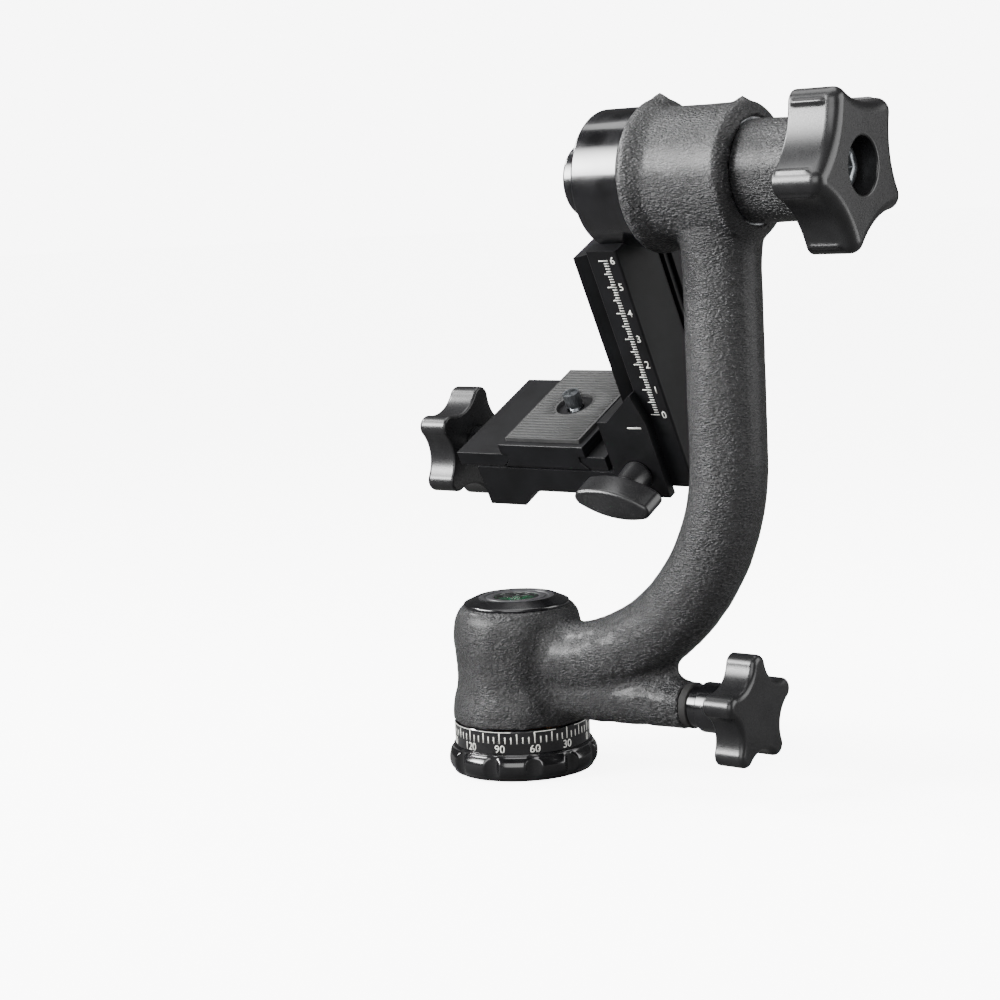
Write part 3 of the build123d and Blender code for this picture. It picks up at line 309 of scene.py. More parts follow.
def gathered(parts):
    """Several (points, faces) as one."""
    points, faces, count = [], [], 0
    for spots, sides in parts:
        points.append(spots)
        faces += [[corner + count for corner in side] for side in sides]
        count += len(spots)
    return np.vstack(points), faces


def merged_copy(node):
    """A node's mesh as one welded skin in millimetres: a bmesh to work on."""
    solid = bmesh.new()
    solid.from_mesh(NODES[node].data)
    bmesh.ops.remove_doubles(solid, verts=solid.verts, dist=NODE_WELD)
    return solid


FLAT_ANGLE = np.radians(1.0)      # faces that turn less than this are one flat
CURVE_ANGLE = np.radians(12.0)    # edges between this and the next are kept as creases
CORNER_ANGLE = np.radians(35.0)   # edges that turn more than this are broken


def eased(node, width, material, body):
    """A copy of a milled node whose flat faces are made whole and whose edges are broken by a
    small round of the given width."""
    solid = merged_copy(node)
    bmesh.ops.dissolve_limit(
        solid, angle_limit=FLAT_ANGLE, verts=solid.verts, edges=solid.edges
    )
    for edge in solid.edges:
        edge.smooth = not CURVE_ANGLE < edge.calc_face_angle(0.0) < CORNER_ANGLE
    mesh = bpy.data.meshes.new(node + "_milled")
    solid.to_mesh(mesh)
    solid.free()
    mesh.shade_smooth()
    mesh.materials.append(material)
    piece = placed(mesh.name, mesh)
    bevel = piece.modifiers.new("Broken edges", "BEVEL")
    bevel.width = width * MM
    bevel.segments = 3
    bevel.limit_method = "ANGLE"
    bevel.angle_limit = CORNER_ANGLE
    bevel.use_clamp_overlap = True
    even = piece.modifiers.new("Even flats", "WEIGHTED_NORMAL")
    even.weight = 100
    even.keep_sharp = True
    return settle(piece, body, [node])


# ---- Materials ----
def linear(code):
    """An sRGB hex colour as linear red, green, blue and one for alpha."""
    channels = np.array([int(code[k : k + 2], 16) for k in (1, 3, 5)]) / 255
    curved = ((channels + 0.055) / 1.055) ** 2.4
    return (*np.where(channels <= 0.04045, channels / 12.92, curved).tolist(), 1.0)


def per(size):
    """A texture's scale in object space for features of a size in millimetres."""
    return 1 / (size * MM)


def put(tree, kind, inputs=None, **settings):
    """Adds a node: settings are its properties, inputs are values or the sockets that feed it."""
    node = tree.nodes.new("ShaderNode" + kind)
    for key, value in settings.items():
        setattr(node, key, value)
    for key, value in (inputs or {}).items():
        if isinstance(value, bpy.types.NodeSocket):
            tree.links.new(value, node.inputs[key])
        else:
            node.inputs[key].default_value = value
    return node


def blank(name, values=None):
    """A new material with its surface's fixed values: returns it, its tree, the Object
    coordinates and the surface node."""
    material = bpy.data.materials.new(name)
    material.use_nodes = True
    tree = material.node_tree
    surface = tree.nodes["Principled BSDF"]
    for key, value in (values or {}).items():
        surface.inputs[key].default_value = value
    place = put(tree, "TexCoord").outputs["Object"]
    return material, tree, place, surface


def spread(tree, value, low, high):
    """Maps a pattern that runs from about 0.3 to 0.7 onto a range."""
    inputs = {"Value": value, "From Min": 0.3, "From Max": 0.7, "To Min": low, "To Max": high}
    return put(tree, "MapRange", inputs).outputs["Result"]


def noise(tree, place, size, detail=2.0):
    """Cloudy noise whose patches are about a size in millimetres."""
    inputs = {"Vector": place, "Scale": per(size), "Detail": detail}
    return put(tree, "TexNoise", inputs).outputs["Fac"]


def tint(tree, surface, factor, dark, light):
    """Colours a surface between two hex colours."""
    inputs = {"Factor": factor, 6: linear(dark), 7: linear(light)}
    node = put(tree, "Mix", inputs, data_type="RGBA")
    tree.links.new(node.outputs[2], surface.inputs["Base Color"])


def mottle(tree, surface, pattern, dark, light):
    """Colours a surface between two hex colours by a pattern."""
    tint(tree, surface, spread(tree, pattern, 0.0, 1.0), dark, light)


def roughen(tree, surface, pattern, low, high):
    """Varies a surface's roughness by a pattern."""
    tree.links.new(spread(tree, pattern, low, high), surface.inputs["Roughness"])


def relief(tree, surface, height, depth, under=None):
    """Bumps a surface by a height pattern whose full range is a depth in millimetres, over
    the relief under it."""
    inputs = {"Height": height, "Distance": depth * MM, "Strength": 1.0}
    if under is not None:
        inputs["Normal"] = under
    normal = put(tree, "Bump", inputs).outputs["Normal"]
    tree.links.new(normal, surface.inputs["Normal"])
    return normal


PEBBLE_SQUASH = (0.7, 0.7, 1.6)   # pebbles are drawn out sideways and pressed in height


def hammered_powder_coat(grain, depth, dark, light):
    """Black polyester powder coat baked to a hammered skin on a sand casting: small smooth
    pebbles, wider than high, that each catch a soft point of light, glossier on their crests
    and dull in the hollows, a little stronger in some patches. The crests are also painted
    paler than the hollows: a painted highlight on the crests and painted shade in the hollows."""
    material, tree, place, surface = blank(
        "hammered_powder_coat",
        {"Specular IOR Level": 0.62, "Coat Weight": 0.15, "Coat Roughness": 0.25},
    )
    place = put(
        tree, "VectorMath", {0: place, 1: PEBBLE_SQUASH}, operation="MULTIPLY"
    ).outputs["Vector"]
    warp = put(tree, "TexNoise", {"Vector": place, "Scale": per(grain * 1.7), "Detail": 1.0})
    shift = put(
        tree,
        "VectorMath",
        {0: warp.outputs["Color"], 1: (grain * 1.3 * MM,) * 3},
        operation="MULTIPLY",
    )
    bent = put(tree, "VectorMath", {0: place, 1: shift.outputs["Vector"]}, operation="ADD")
    pebbles = put(
        tree,
        "TexVoronoi",
        {"Vector": bent.outputs["Vector"], "Scale": per(grain), "Smoothness": 0.6},
        feature="SMOOTH_F1",
    ).outputs["Distance"]
    slope = {"Value": pebbles, "From Min": 0.12, "From Max": 0.62, "To Min": 1.0, "To Max": 0.0}
    crest = put(tree, "MapRange", slope).outputs["Result"]
    fine = noise(tree, place, grain * 0.55, 3.0)
    patches = spread(tree, noise(tree, place, grain * 12, 3.0), 0.8, 1.0)
    height = put(tree, "Math", {0: crest, 1: patches}, operation="MULTIPLY").outputs["Value"]
    under = relief(tree, surface, height, depth)
    relief(tree, surface, fine, depth * 0.75, under=under)
    # Painted light: the crests are coloured paler as a painted highlight, and the hollows darker as painted shade.
    painted_crest_sheen = put(tree, "Math", {0: height, 1: 2.0}, operation="POWER").outputs["Value"]
    tint(tree, surface, painted_crest_sheen, dark, light)
    rough = put(
        tree, "MapRange", {"Value": height, "To Min": 0.5, "To Max": 0.34}
    ).outputs["Result"]
    tree.links.new(rough, surface.inputs["Roughness"])
    return material


def bright_black_anodising(colour):
    """Polished aluminium under a thick black anodic layer: a deep mirror black, with faint
    lathe lines and the haze of handling."""
    material, tree, place, surface = blank(
        "bright_black_anodising", {"Coat Weight": 0.6, "Coat Roughness": 0.09}
    )
    haze = noise(tree, place, 7.0, 3.0)
    mottle(tree, surface, haze, colour, "#101012")
    roughen(tree, surface, haze, 0.15, 0.24)
    relief(tree, surface, noise(tree, place, 0.25), 0.002)
    return material


def satin_black_anodising(colour):
    """Extruded and milled aluminium, bead blasted and dyed black: an even satin with a grain
    as fine as the beads, and slightly paler where it is rubbed."""
    material, tree, place, surface = blank(
        "satin_black_anodising", {"Specular IOR Level": 0.22}
    )
    grain = noise(tree, place, 0.3, 2.0)
    cloud = noise(tree, place, 11.0, 2.0)
    mottle(tree, surface, cloud, colour, "#101012")
    roughen(tree, surface, grain, 0.38, 0.5)
    relief(tree, surface, grain, 0.006)
    return material


def moulded_nylon(colour):
    """Glass-filled nylon from a spark-eroded mould: satin black with a very fine even grain."""
    material, tree, place, surface = blank("moulded_nylon")
    grain = noise(tree, place, 0.35, 3.0)
    cloud = noise(tree, place, 9.0, 2.0)
    mottle(tree, surface, cloud, colour, "#1a1a1b")
    roughen(tree, surface, grain, 0.26, 0.36)
    relief(tree, surface, grain, 0.003)
    return material


def pad_printed_ink(colour):
    """White epoxy ink, pad printed: matt, a little thin and uneven."""
    material, tree, place, surface = blank("pad_printed_ink", {"Roughness": 0.6})
    mottle(tree, surface, noise(tree, place, 0.5), colour, "#b4b4ae")
    return material


def metal(name, dark, light, rough):
    """A bare metal with fine machining lines: bright, with its roughness streaked by them."""
    material, tree, place, surface = blank(name, {"Metallic": 1.0})
    lines = noise(tree, place, 0.25, 3.0)
    mottle(tree, surface, noise(tree, place, 4.0), dark, light)
    roughen(tree, surface, lines, rough * 0.75, rough * 1.25)
    relief(tree, surface, lines, 0.003)
    return material


def moulded_rubber(colour):
    """Black moulded rubber: dull, with a dusty bloom."""
    material, tree, place, surface = blank("moulded_rubber")
    bloom = noise(tree, place, 3.0, 4.0)
    mottle(tree, surface, bloom, colour, "#2a2a2a")
    roughen(tree, surface, bloom, 0.7, 0.85)
    relief(tree, surface, noise(tree, place, 0.3), 0.02)
    return material


def pressed_fibre():
    """Pressed fibre sheet, as friction discs are cut from: brown-black, flecked and matt."""
    material, tree, place, surface = blank("pressed_fibre", {"Roughness": 0.8})
    flecks = noise(tree, place, 0.6, 4.0)
    mottle(tree, surface, flecks, "#0a0a09", "#141312")
    relief(tree, surface, flecks, 0.02)
    return material


def cast_acrylic():
    """Clear cast acrylic, polished: the lens of the level, with hair-fine wiping marks."""
    material, tree, place, surface = blank(
        "cast_acrylic", {"IOR": 1.49, "Transmission Weight": 1.0}
    )
    rubs = noise(tree, place, 0.8, 3.0)
    mottle(tree, surface, rubs, "#f4faf7", "#ffffff")
    roughen(tree, surface, rubs, 0.02, 0.06)
    return material


def satin_cup():
    """The level's moulded cup: dark satin plastic, faintly mottled; its grey is lifted
    paler than the plastic as a painted reflection of the pale room above its top.
    """
    material, tree, place, surface = blank("level_cup_painted_reflection", {"Roughness": 0.36})
    # Painted reflection: these greys are paler than the plastic's own, standing in for the white room reflected in
    # the cup's top.
    mottle(tree, surface, noise(tree, place, 1.2), "#29292b", "#3b3b3d")
    return material


def green_spirit(colour):
    """The level's dyed spirit: clear yellow-green, deeper where it is thick."""
    material, tree, place, surface = blank(
        "green_spirit", {"IOR": 1.36, "Roughness": 0.02, "Transmission Weight": 0.85}
    )
    depth = noise(tree, place, 5.0)
    mottle(tree, surface, depth, colour, "#7fd6a2")
    return material


def printed_floor(colour):
    """The level's floor, printed green under the spirit: opaque and slightly uneven."""
    material, tree, place, surface = blank("printed_green_floor", {"Roughness": 0.45})
    mottle(tree, surface, noise(tree, place, 1.5), colour, "#34c898")
    return material


def black_ink():
    """Black screen ink of the level's rings: matt, thinner at its edges."""
    material, tree, place, surface = blank("black_screen_ink", {"Roughness": 0.5})
    mottle(tree, surface, noise(tree, place, 0.8), "#0b0d0c", "#1c211e")
    return material


FINISH = {}


def make_finishes(scene):
    """Makes every material once."""
    colours = scene.head_colours
    casting = scene.head_casting

    def code(colour):
        """A linear colour property back to a hex code."""
        channels = np.clip(np.array(colour), 0, 1)
        coded = np.where(
            channels <= 0.0031308, channels * 12.92, 1.055 * channels ** (1 / 2.4) - 0.055
        )
        return "#" + "".join(f"{round(float(value) * 255):02x}" for value in coded)

    FINISH["coat"] = hammered_powder_coat(
        casting.grain, casting.grain_depth, code(colours.coat), code(colours.crest)
    )
    FINISH["gloss"] = bright_black_anodising(code(colours.gloss))
    FINISH["satin"] = satin_black_anodising(code(colours.satin))
    FINISH["nylon"] = moulded_nylon(code(colours.knobs))
    FINISH["ink"] = pad_printed_ink(code(colours.ink))
    FINISH["steel"] = metal("turned_steel", "#8d8f92", "#b4b6b8", 0.28)
    FINISH["zinc"] = metal("zinc_plated_steel", "#6e7275", "#9a9ea2", 0.34)
    FINISH["race"] = metal("ground_bearing_steel", "#a7aaad", "#cdd0d2", 0.12)
    FINISH["bronze"] = metal("machined_bronze", "#8a6234", "#b5894f", 0.32)
    FINISH["fibre"] = pressed_fibre()
    FINISH["rubber"] = moulded_rubber(code(colours.rubber))
    FINISH["acrylic"] = cast_acrylic()
    FINISH["spirit"] = green_spirit(code(colours.spirit))
    FINISH["cup"] = satin_cup()
    FINISH["plate"] = printed_floor(code(colours.spirit))
    FINISH["black_ink"] = black_ink()


# ---- Settings ----
def colour_setting(label, description, code):
    """A colour that can be picked in the sidebar."""
    return FloatVectorProperty(
        name=label,
        description=description,
        default=linear(code)[:3],
        subtype="COLOR",
        min=0.0,
        max=1.0,
    )


class HeadColours(bpy.types.PropertyGroup):
    """Colours of the finishes."""

    # The casting's two colours are painted light: the paler crest colour is a painted highlight on the pebbles,
    # and the darker hollow colour is painted shade.
    coat: colour_setting("Casting", "Powder coat of the arm, in its hollows", "#060607")
    crest: colour_setting("Casting crests", "Powder coat on its pebbles", "#2b2c2e")
    gloss: colour_setting("Bright black", "Bright anodising of drum and base", "#060607")
    satin: colour_setting("Satin black", "Satin anodising of rail and clamp", "#09090a")
    knobs: colour_setting("Knobs", "Nylon of the knobs", "#121213")
    ink: colour_setting("Ink", "Ink of the printed scales", "#d2d2cc")
    rubber: colour_setting("Rubber", "Pad on the plate", "#1b1b1b")
    spirit: colour_setting("Spirit", "Liquid in the level", "#1a8f66")


def size_setting(label, description, default, least):
    """A size in millimetres."""
    return FloatProperty(name=label, description=description + ", mm", default=default, min=least)


class HeadCasting(bpy.types.PropertyGroup):
    """Skin of the arm casting, in millimetres."""

    grain: size_setting("Grain", "Width of a pebble of the powder coat", 0.85, 0.2)
    grain_depth: size_setting("Grain depth", "Height of the pebbles", 0.58, 0.0)
    cell: size_setting("Cell", "Size of the casting's surface cells", 0.75, 0.4)
    waves: size_setting("Waves", "Unevenness of the cast skin", 0.07, 0.0)


class HeadScales(bpy.types.PropertyGroup):
    """Printed scales, in millimetres."""

    digit: size_setting("Digit height", "Height of a printed digit", 2.8, 0.5)
    ink: size_setting("Ink thickness", "Thickness of the printed ink", 0.03, 0.01)
    line: size_setting("Line width", "Width of a printed line", 0.42, 0.1)
    degree_step: IntProperty(
        name="Degree step", description="Degrees between marks of the base", default=5, min=1
    )


def lamp_setting(label, lamp, watts):
    """The power of one of the studio's lamps."""
    return FloatProperty(
        name=label, description="Power of the " + lamp, default=watts, unit="POWER"
    )


class HeadStudio(bpy.types.PropertyGroup):
    """Light of the studio."""

    key: lamp_setting("Key light", "key softbox", 7.0)
    top: lamp_setting("Top light", "top softbox", 8.0)
    rim: lamp_setting("Rim light", "softbox at the right", 8.0)
    fill: lamp_setting("Fill light", "fill in front", 17.0)
    edge: lamp_setting("Edge light", "small lamp at the upper left", 8.0)
    world: FloatProperty(
        name="Room", description="Brightness of the room's light", default=1.4, min=0.0
    )


GROUPS = {
    "head_colours": HeadColours,
    "head_casting": HeadCasting,
    "head_scales": HeadScales,
    "head_studio": HeadStudio,
}


class PieceOperator:
    """What the operators share."""

    bl_options = {"REGISTER"}


# ---- The stage ----
CAMERA_AT = (0.4921, -0.6251, 0.2032)
CAMERA_YAW = np.radians(38.5)
CAMERA_DIP = np.radians(7.66)
CAMERA_ROLL = np.radians(2.84)
CAMERA_LENS = 81.9       # mm, on a 36 mm sensor
LOOK = np.array(
    [
        -np.sin(CAMERA_YAW) * np.cos(CAMERA_DIP),
        np.cos(CAMERA_YAW) * np.cos(CAMERA_DIP),
        -np.sin(CAMERA_DIP),
    ]
)
ACROSS = np.array([np.cos(CAMERA_YAW), np.sin(CAMERA_YAW), 0.0])
ABOVE = np.cross(ACROSS, LOOK)
STAGE_CENTRE = (0.04, 0.0, 0.12)
KEY_AIM = (0.06, 0.0, 0.36)   # above the head, so that the light fades towards its foot
KEY_SPREAD = 52.0        # degrees
FLOOR_R = 12.0           # metres


def softbox(name, direction, distance, size, power, aim=STAGE_CENTRE, spread=180.0):
    """A rectangular softbox in a direction from the point that it faces, its light kept
    within a spread in degrees, as a grid on its front does."""
    light = bpy.data.lights.new(name, "AREA")
    light.shape = "RECTANGLE"
    light.size, light.size_y = size
    light.energy = power
    light.spread = np.radians(spread)
    lamp = placed(name, light)
    away = Vector(direction).normalized()
    lamp.location = Vector(aim) + away * distance
    lamp.rotation_euler = away.to_track_quat("Z", "Y").to_euler()


class StageOperator(PieceOperator, bpy.types.Operator):
    """Sets up the camera, the pale floor and the soft studio light"""

    bl_idname = "gimbal_head.stage"
    bl_label = "Stage"

    WHITE_LIFT = 6.5         # radiance added behind the head, so that it stands on white

    def execute(self, context):
        camera = bpy.data.cameras.new("camera")
        camera.lens = CAMERA_LENS
        viewer = placed("camera", camera)
        across = ACROSS * np.cos(CAMERA_ROLL) - ABOVE * np.sin(CAMERA_ROLL)
        above = ACROSS * np.sin(CAMERA_ROLL) + ABOVE * np.cos(CAMERA_ROLL)
        turn = Matrix(np.column_stack([across, above, -LOOK]).tolist())
        viewer.matrix_world = Matrix.Translation(CAMERA_AT) @ turn.to_4x4()
        context.scene.camera = viewer
        self.floor()
        studio = context.scene.head_studio
        softbox(
            "key_softbox", (-0.62, -0.70, 0.30), 0.9, (0.6, 0.7), studio.key, KEY_AIM, KEY_SPREAD
        )
        softbox("top_softbox", (-0.1, 0.1, 1.0), 0.95, (0.8, 0.8), studio.top)
        softbox("rim_softbox", (0.85, 0.42, 0.22), 0.9, (0.7, 0.8), studio.rim)
        softbox("edge_lamp", (-0.80, -0.12, 0.60), 1.0, (0.14, 0.14), studio.edge)
        softbox("front_fill", (0.45, -0.85, 0.30), 1.5, (1.2, 1.0), studio.fill)
        self.room(context, studio.world)
        return {"FINISHED"}

    def floor(self):
        """A wide level board: pale and a little self-lit to the camera, and greyer to the light
        that it returns, so that black parts keep their depth."""
        floor = bpy.data.materials.new("matt_white_board")
        floor.use_nodes = True
        tree = floor.node_tree
        surface = tree.nodes["Principled BSDF"]
        surface.inputs["Roughness"].default_value = 0.9
        place = put(tree, "TexCoord").outputs["Object"]
        cloud = put(
            tree,
            "Mix",
            {"Factor": noise(tree, place, 40.0), 6: linear("#f2f2f1"), 7: linear("#f8f8f7")},
            data_type="RGBA",
        )
        seen = put(tree, "LightPath").outputs["Is Camera Ray"]
        inputs = {"Factor": seen, 6: linear("#464646"), 7: cloud.outputs[2]}
        shade = put(tree, "Mix", inputs, data_type="RGBA")
        tree.links.new(shade.outputs[2], surface.inputs["Base Color"])
        surface.inputs["Emission Color"].default_value = (1, 1, 1, 1)
        lift = put(tree, "Math", {0: seen, 1: self.WHITE_LIFT}, operation="MULTIPLY").outputs[0]
        tree.links.new(lift, surface.inputs["Emission Strength"])
        radius = np.array([0, 0.3, 1.0, 3.0, FLOOR_R])
        grid = around(np.column_stack([radius, np.zeros(len(radius))]) / MM, 96)
        mesh = bpy.data.meshes.new("floor")
        points = grid.reshape(-1, 3) * MM
        mesh.from_pydata(points.tolist(), [], grid_faces(*grid.shape[:2]))
        mesh.materials.append(floor)
        placed("floor", mesh)

    def room(self, context, strength):
        """White behind the head, even light on the floor, and dim in reflections."""
        world = bpy.data.worlds.new("room")
        world.use_nodes = True
        tree = world.node_tree
        back = tree.nodes["Background"]
        path = put(tree, "LightPath").outputs
        light = put(
            tree, "Mix", {0: path["Is Glossy Ray"], 2: strength, 3: strength * 0.05}
        ).outputs[0]
        seen = put(
            tree, "Mix", {0: path["Is Camera Ray"], 2: light, 3: strength + self.WHITE_LIFT}
        ).outputs[0]
        back.inputs["Color"].default_value = (1, 1, 1, 1)
        tree.links.new(seen, back.inputs["Strength"])
        world.cycles.sampling_method = "NONE"
        context.scene.world = world


# ---- Pan base ----
FLUTES = 11
FLUTE_R = 3.6
FLUTE_FLOOR_R = 24.8
FLUTE_TURN = np.radians(-45.0)
FLUTE_EDGE = 0.7         # rounding of the edge between a flute and the rim
FLUTE_COLUMNS = 40       # columns of points for each flute
RIM_CURVE = 2.6          # power of the rim's bulge: 2 is round, more is flatter


def fluted(profile, columns):
    """The turned rim with scallops: at each angle the radius is the smooth lesser of the
    profile's and the near wall of a round flute, r = c cos a - sqrt(f^2 - c^2 sin^2 a)."""
    angle = np.linspace(0, 2 * np.pi, columns, endpoint=False)
    pitch = 2 * np.pi / FLUTES
    off = (angle - FLUTE_TURN + pitch / 2) % pitch - pitch / 2
    centre = FLUTE_FLOOR_R + FLUTE_R
    inside = FLUTE_R**2 - (centre * np.sin(off)) ** 2
    wall = centre * np.cos(off) - np.sqrt(np.maximum(inside, 0))
    wall = wall + np.where(inside < 0, np.abs(centre * np.sin(off)) - FLUTE_R, 0)
    radius = np.repeat(profile[:, :1], columns, axis=1)
    blend = np.clip(0.5 + 0.5 * (radius - wall) / FLUTE_EDGE, 0, 1)
    eased_r = radius * (1 - blend) + wall * blend - FLUTE_EDGE * blend * (1 - blend)
    radius = np.where(radius > FLUTE_FLOOR_R - 3 * FLUTE_EDGE, eased_r, radius)
    return polar(radius, angle, profile[:, 1:])


class PanBaseOperator(PieceOperator, bpy.types.Operator):
    """Makes the fluted base"""

    bl_idname = "gimbal_head.pan_base"
    bl_label = "Pan base"

    RIM_ENDS = 0.7           # height above and below the rim's bulge
    RIM_STEP = 0.6           # how much wider than the foot the bulge is at its ends
    RIM_EDGE = 0.3           # rounding of the rim's edges

    def execute(self, context):
        foot_z, height, rim = extent("base_plate")
        foot = points_of("base_plate")
        foot_r = np.hypot(foot[:, 0], foot[:, 1])[foot[:, 2] < foot_z + 0.01].max()
        bush = reach("thread_bush")
        bulge = np.linspace(-1, 1, 22)[1:-1]
        half = (height - 2 * self.RIM_ENDS) / 2
        drop = (rim - foot_r - self.RIM_STEP) * np.abs(bulge) ** RIM_CURVE
        side = np.column_stack([rim - drop, height / 2 + bulge * half])
        (first_r, first_z), (last_r, last_z) = side[0], side[-1]
        under = rounded([
            (bush, 0, 0), (foot_r - 0.9, 0, self.RIM_EDGE), (first_r, 0.5, self.RIM_EDGE),
            (first_r, first_z, 0),
        ])
        over = rounded([
            (last_r, last_z, 0), (last_r, height - 0.5, self.RIM_EDGE),
            (last_r - 0.8, height, self.RIM_EDGE), (bush, height, 0),
        ])
        profile = np.vstack([under, side, over, under[:1]])
        grid = fluted(profile, FLUTES * FLUTE_COLUMNS)
        skin("base_plate_fluted", grid, FINISH["gloss"], WORLD, body="base",
             replaces=["base_plate"], slot="base_gloss")
        return {"FINISHED"}


# ---- Knobs ----
KNOB_COLUMNS = 720
BACK_EDGE = 1.0          # rounding of a knob's back edge
BORE_DEPTH = 4.0         # from the face of a knob that has no recess to the end of its bore
BEAD_WIDTH = 0.62        # half width of the beads down the sides of a lobe
BEAD_FADE = 1.2          # length over which a bead runs out at its ends


class Lobes:
    """The outline of a lobed knob: lobe arcs and valley arcs, tangent to each other."""

    def __init__(self, radius, lobe_r, valley_r, count=5):
        self.count = count
        self.tip = radius - lobe_r
        self.lobe_r = lobe_r
        half = np.pi / count
        rest = self.tip**2 + valley_r**2 - 2 * self.tip * valley_r * np.cos(half) - lobe_r**2
        self.hollow_r = rest / (2 * lobe_r - 2 * valley_r + 2 * self.tip * np.cos(half))
        self.hollow_at = valley_r + self.hollow_r
        self.half = half
        valley = self.hollow_at * np.array([np.cos(half), np.sin(half)]) - (self.tip, 0)
        joint = valley / np.linalg.norm(valley) * lobe_r + (self.tip, 0)
        self.joint = np.arctan2(joint[1], joint[0])

    def radius(self, angle):
        """Where a ray from the middle leaves the outline: through the lobe's circle,
        c cos a + sqrt(r^2 - c^2 sin^2 a), or into the near side of the valley's circle,
        d cos b - sqrt(h^2 - d^2 sin^2 b)."""
        off = np.abs((angle + self.half) % (2 * self.half) - self.half)
        away = self.half - off
        lobe = self.lobe_r**2 - (self.tip * np.sin(off)) ** 2
        hollow = self.hollow_r**2 - (self.hollow_at * np.sin(away)) ** 2
        on_lobe = self.tip * np.cos(off) + np.sqrt(np.maximum(lobe, 0))
        on_hollow = self.hollow_at * np.cos(away) - np.sqrt(np.maximum(hollow, 0))
        return np.where(off < self.joint, on_lobe, on_hollow)

    def bead(self, angle, width):
        """A bell curve over the outline, 1 where a lobe's arc gives way to a valley's."""
        off = np.abs((angle + self.half) % (2 * self.half) - self.half)
        return np.exp(-(((off - self.joint) * self.radius(angle) / width) ** 2))

    def outline(self, phase, columns):
        """Points of the outline and its outward normals, evenly spread by length."""
        fine = np.linspace(0, 2 * np.pi, 8000, endpoint=False)
        return spread_evenly(polar(self.radius(fine - phase), fine, 0)[:, :2], columns)


def knob_grid(outline, normal, low, high, edge_low, edge_high, bore_low, inner, bead=0.0):
    """A knob's rows: from its bore over the back, round the outline inset by a rounding at
    each end, and over the face to an inner profile (radius, height) of its recess. Between
    the inset outline and a circle a row is the straight mix of both. Its side is lifted by
    a bead that fades out before the roundings."""
    turn = np.linspace(0, np.pi / 2, 9)
    circle = outline / np.linalg.norm(outline, axis=1, keepdims=True)

    def ring(inset, height):
        flat = outline - normal * inset
        return np.column_stack([flat, np.full(len(flat), height)])

    def disc(radius, height):
        return np.column_stack([circle * radius, np.full(len(circle), height)])

    rows = [disc(bore_low, low)]
    start = ring(edge_low + GUARD, low)
    for mix in np.linspace(0, 1, 8)[1:]:
        rows.append(rows[0] * (1 - mix) + start * mix)
    for angle in turn:
        rows.append(ring(edge_low * (1 - np.sin(angle)), low + edge_low * (1 - np.cos(angle))))
    rows.append(ring(0, low + edge_low + GUARD))
    for height in np.linspace(low + edge_low, high - edge_high, 16)[1:-1]:
        near_end = min(height - low - edge_low, high - edge_high - height)
        lift = np.broadcast_to(bead * np.clip(near_end / BEAD_FADE, 0, 1), len(outline))
        rows.append(ring(-lift[:, None], height))
    rows.append(ring(0, high - edge_high - GUARD))
    for angle in turn:
        rows.append(ring(edge_high * (1 - np.cos(angle)), high - edge_high * (1 - np.sin(angle))))
    rim = ring(edge_high + GUARD, high)
    mouth = disc(inner[0][0], inner[0][1])
    for mix in np.linspace(0, 1, 9):
        rows.append(rim * (1 - mix) + mouth * mix)
    for radius, height in inner[1:]:
        rows.append(disc(radius, height))
    return np.stack(rows)


def lobed_knob(node, seat, body, lobe_r, valley_r, edge, inner, bore, bead=0.0):
    """A five-lobed knob in place of a node, with its own recess profile (radius, depth) and
    a bead of a height down each side of its lobes."""
    back, face, radius = extent(node, seat)
    lobes = Lobes(radius, lobe_r, valley_r)
    phase = lobe_angle(node, seat, lobes.count)
    outline, normal = lobes.outline(phase, KNOB_COLUMNS)
    along = np.arctan2(outline[:, 1], outline[:, 0]) - phase
    profile = rounded([(radius, face - depth, curve) for radius, depth, curve in inner])
    bore_end = profile[-1][1] if profile[-1][0] else face - BORE_DEPTH
    last = min(bore, profile[-1][0])
    profile = np.vstack([profile, [(last, bore_end), (bore, bore_end), (bore, back)]])
    beads = bead * lobes.bead(along, BEAD_WIDTH)
    grid = knob_grid(outline, normal, back, face, BACK_EDGE, edge, bore, profile, beads)
    return skin(node + "_moulded", grid, FINISH["nylon"], seat, body=body, replaces=[node],
                slot="knob_plastic")


class KnobsOperator(PieceOperator, bpy.types.Operator):
    """Makes the three lobed knobs"""

    bl_idname = "gimbal_head.knobs"
    bl_label = "Lobed knobs"

    def execute(self, context):
        dish = [(9.0, 0, 0), (4.5, 0.06, 3.0), (0, 0.08, 0)]
        lobed_knob("pan_knob", PAN_LOCK_AXIS, "pan_lock", lobe_r=3.8, valley_r=13.05,
                   edge=2.0, inner=dish, bore=4.0)
        lobed_knob("clamp_knob", CLAMP_AXIS, "clamp_lock", lobe_r=4.2, valley_r=15.2,
                   edge=2.0, inner=dish, bore=3.0)
        recess = [(11.0, 0, 0), (9.1, 0, 0.7), (8.9, 12.0, 0.3), (4.2, 12.0, 0)]
        lobed_knob("tilt_knob", TILT_AXIS, "tilt_lock", lobe_r=4.6, valley_r=20.2,
                   edge=4.0, inner=recess, bore=4.2, bead=0.6)
        return {"FINISHED"}


# ---- Casting ----
GOLDEN_ANGLE = 2.39996   # radians: turned by it each time, directions never line up
GOLDEN_RATIO = 0.618


def waves(points, size, height, count=14):
    """An uneven field over space: the sum of sine waves in even, scattered directions, each
    about a size long, scaled to a height."""
    turn = np.arange(count) * GOLDEN_ANGLE
    rise = 1 - (2 * np.arange(count) + 1) / count
    flat = np.sqrt(1 - rise**2)
    along = np.column_stack([flat * np.cos(turn), flat * np.sin(turn), rise])
    length = size * (0.8 + 0.4 * (np.arange(count) * GOLDEN_RATIO % 1))
    phase = points @ (along * (2 * np.pi / length)[:, None]).T + turn * 1.7
    return height * np.sin(phase).sum(1) * np.sqrt(2 / count)


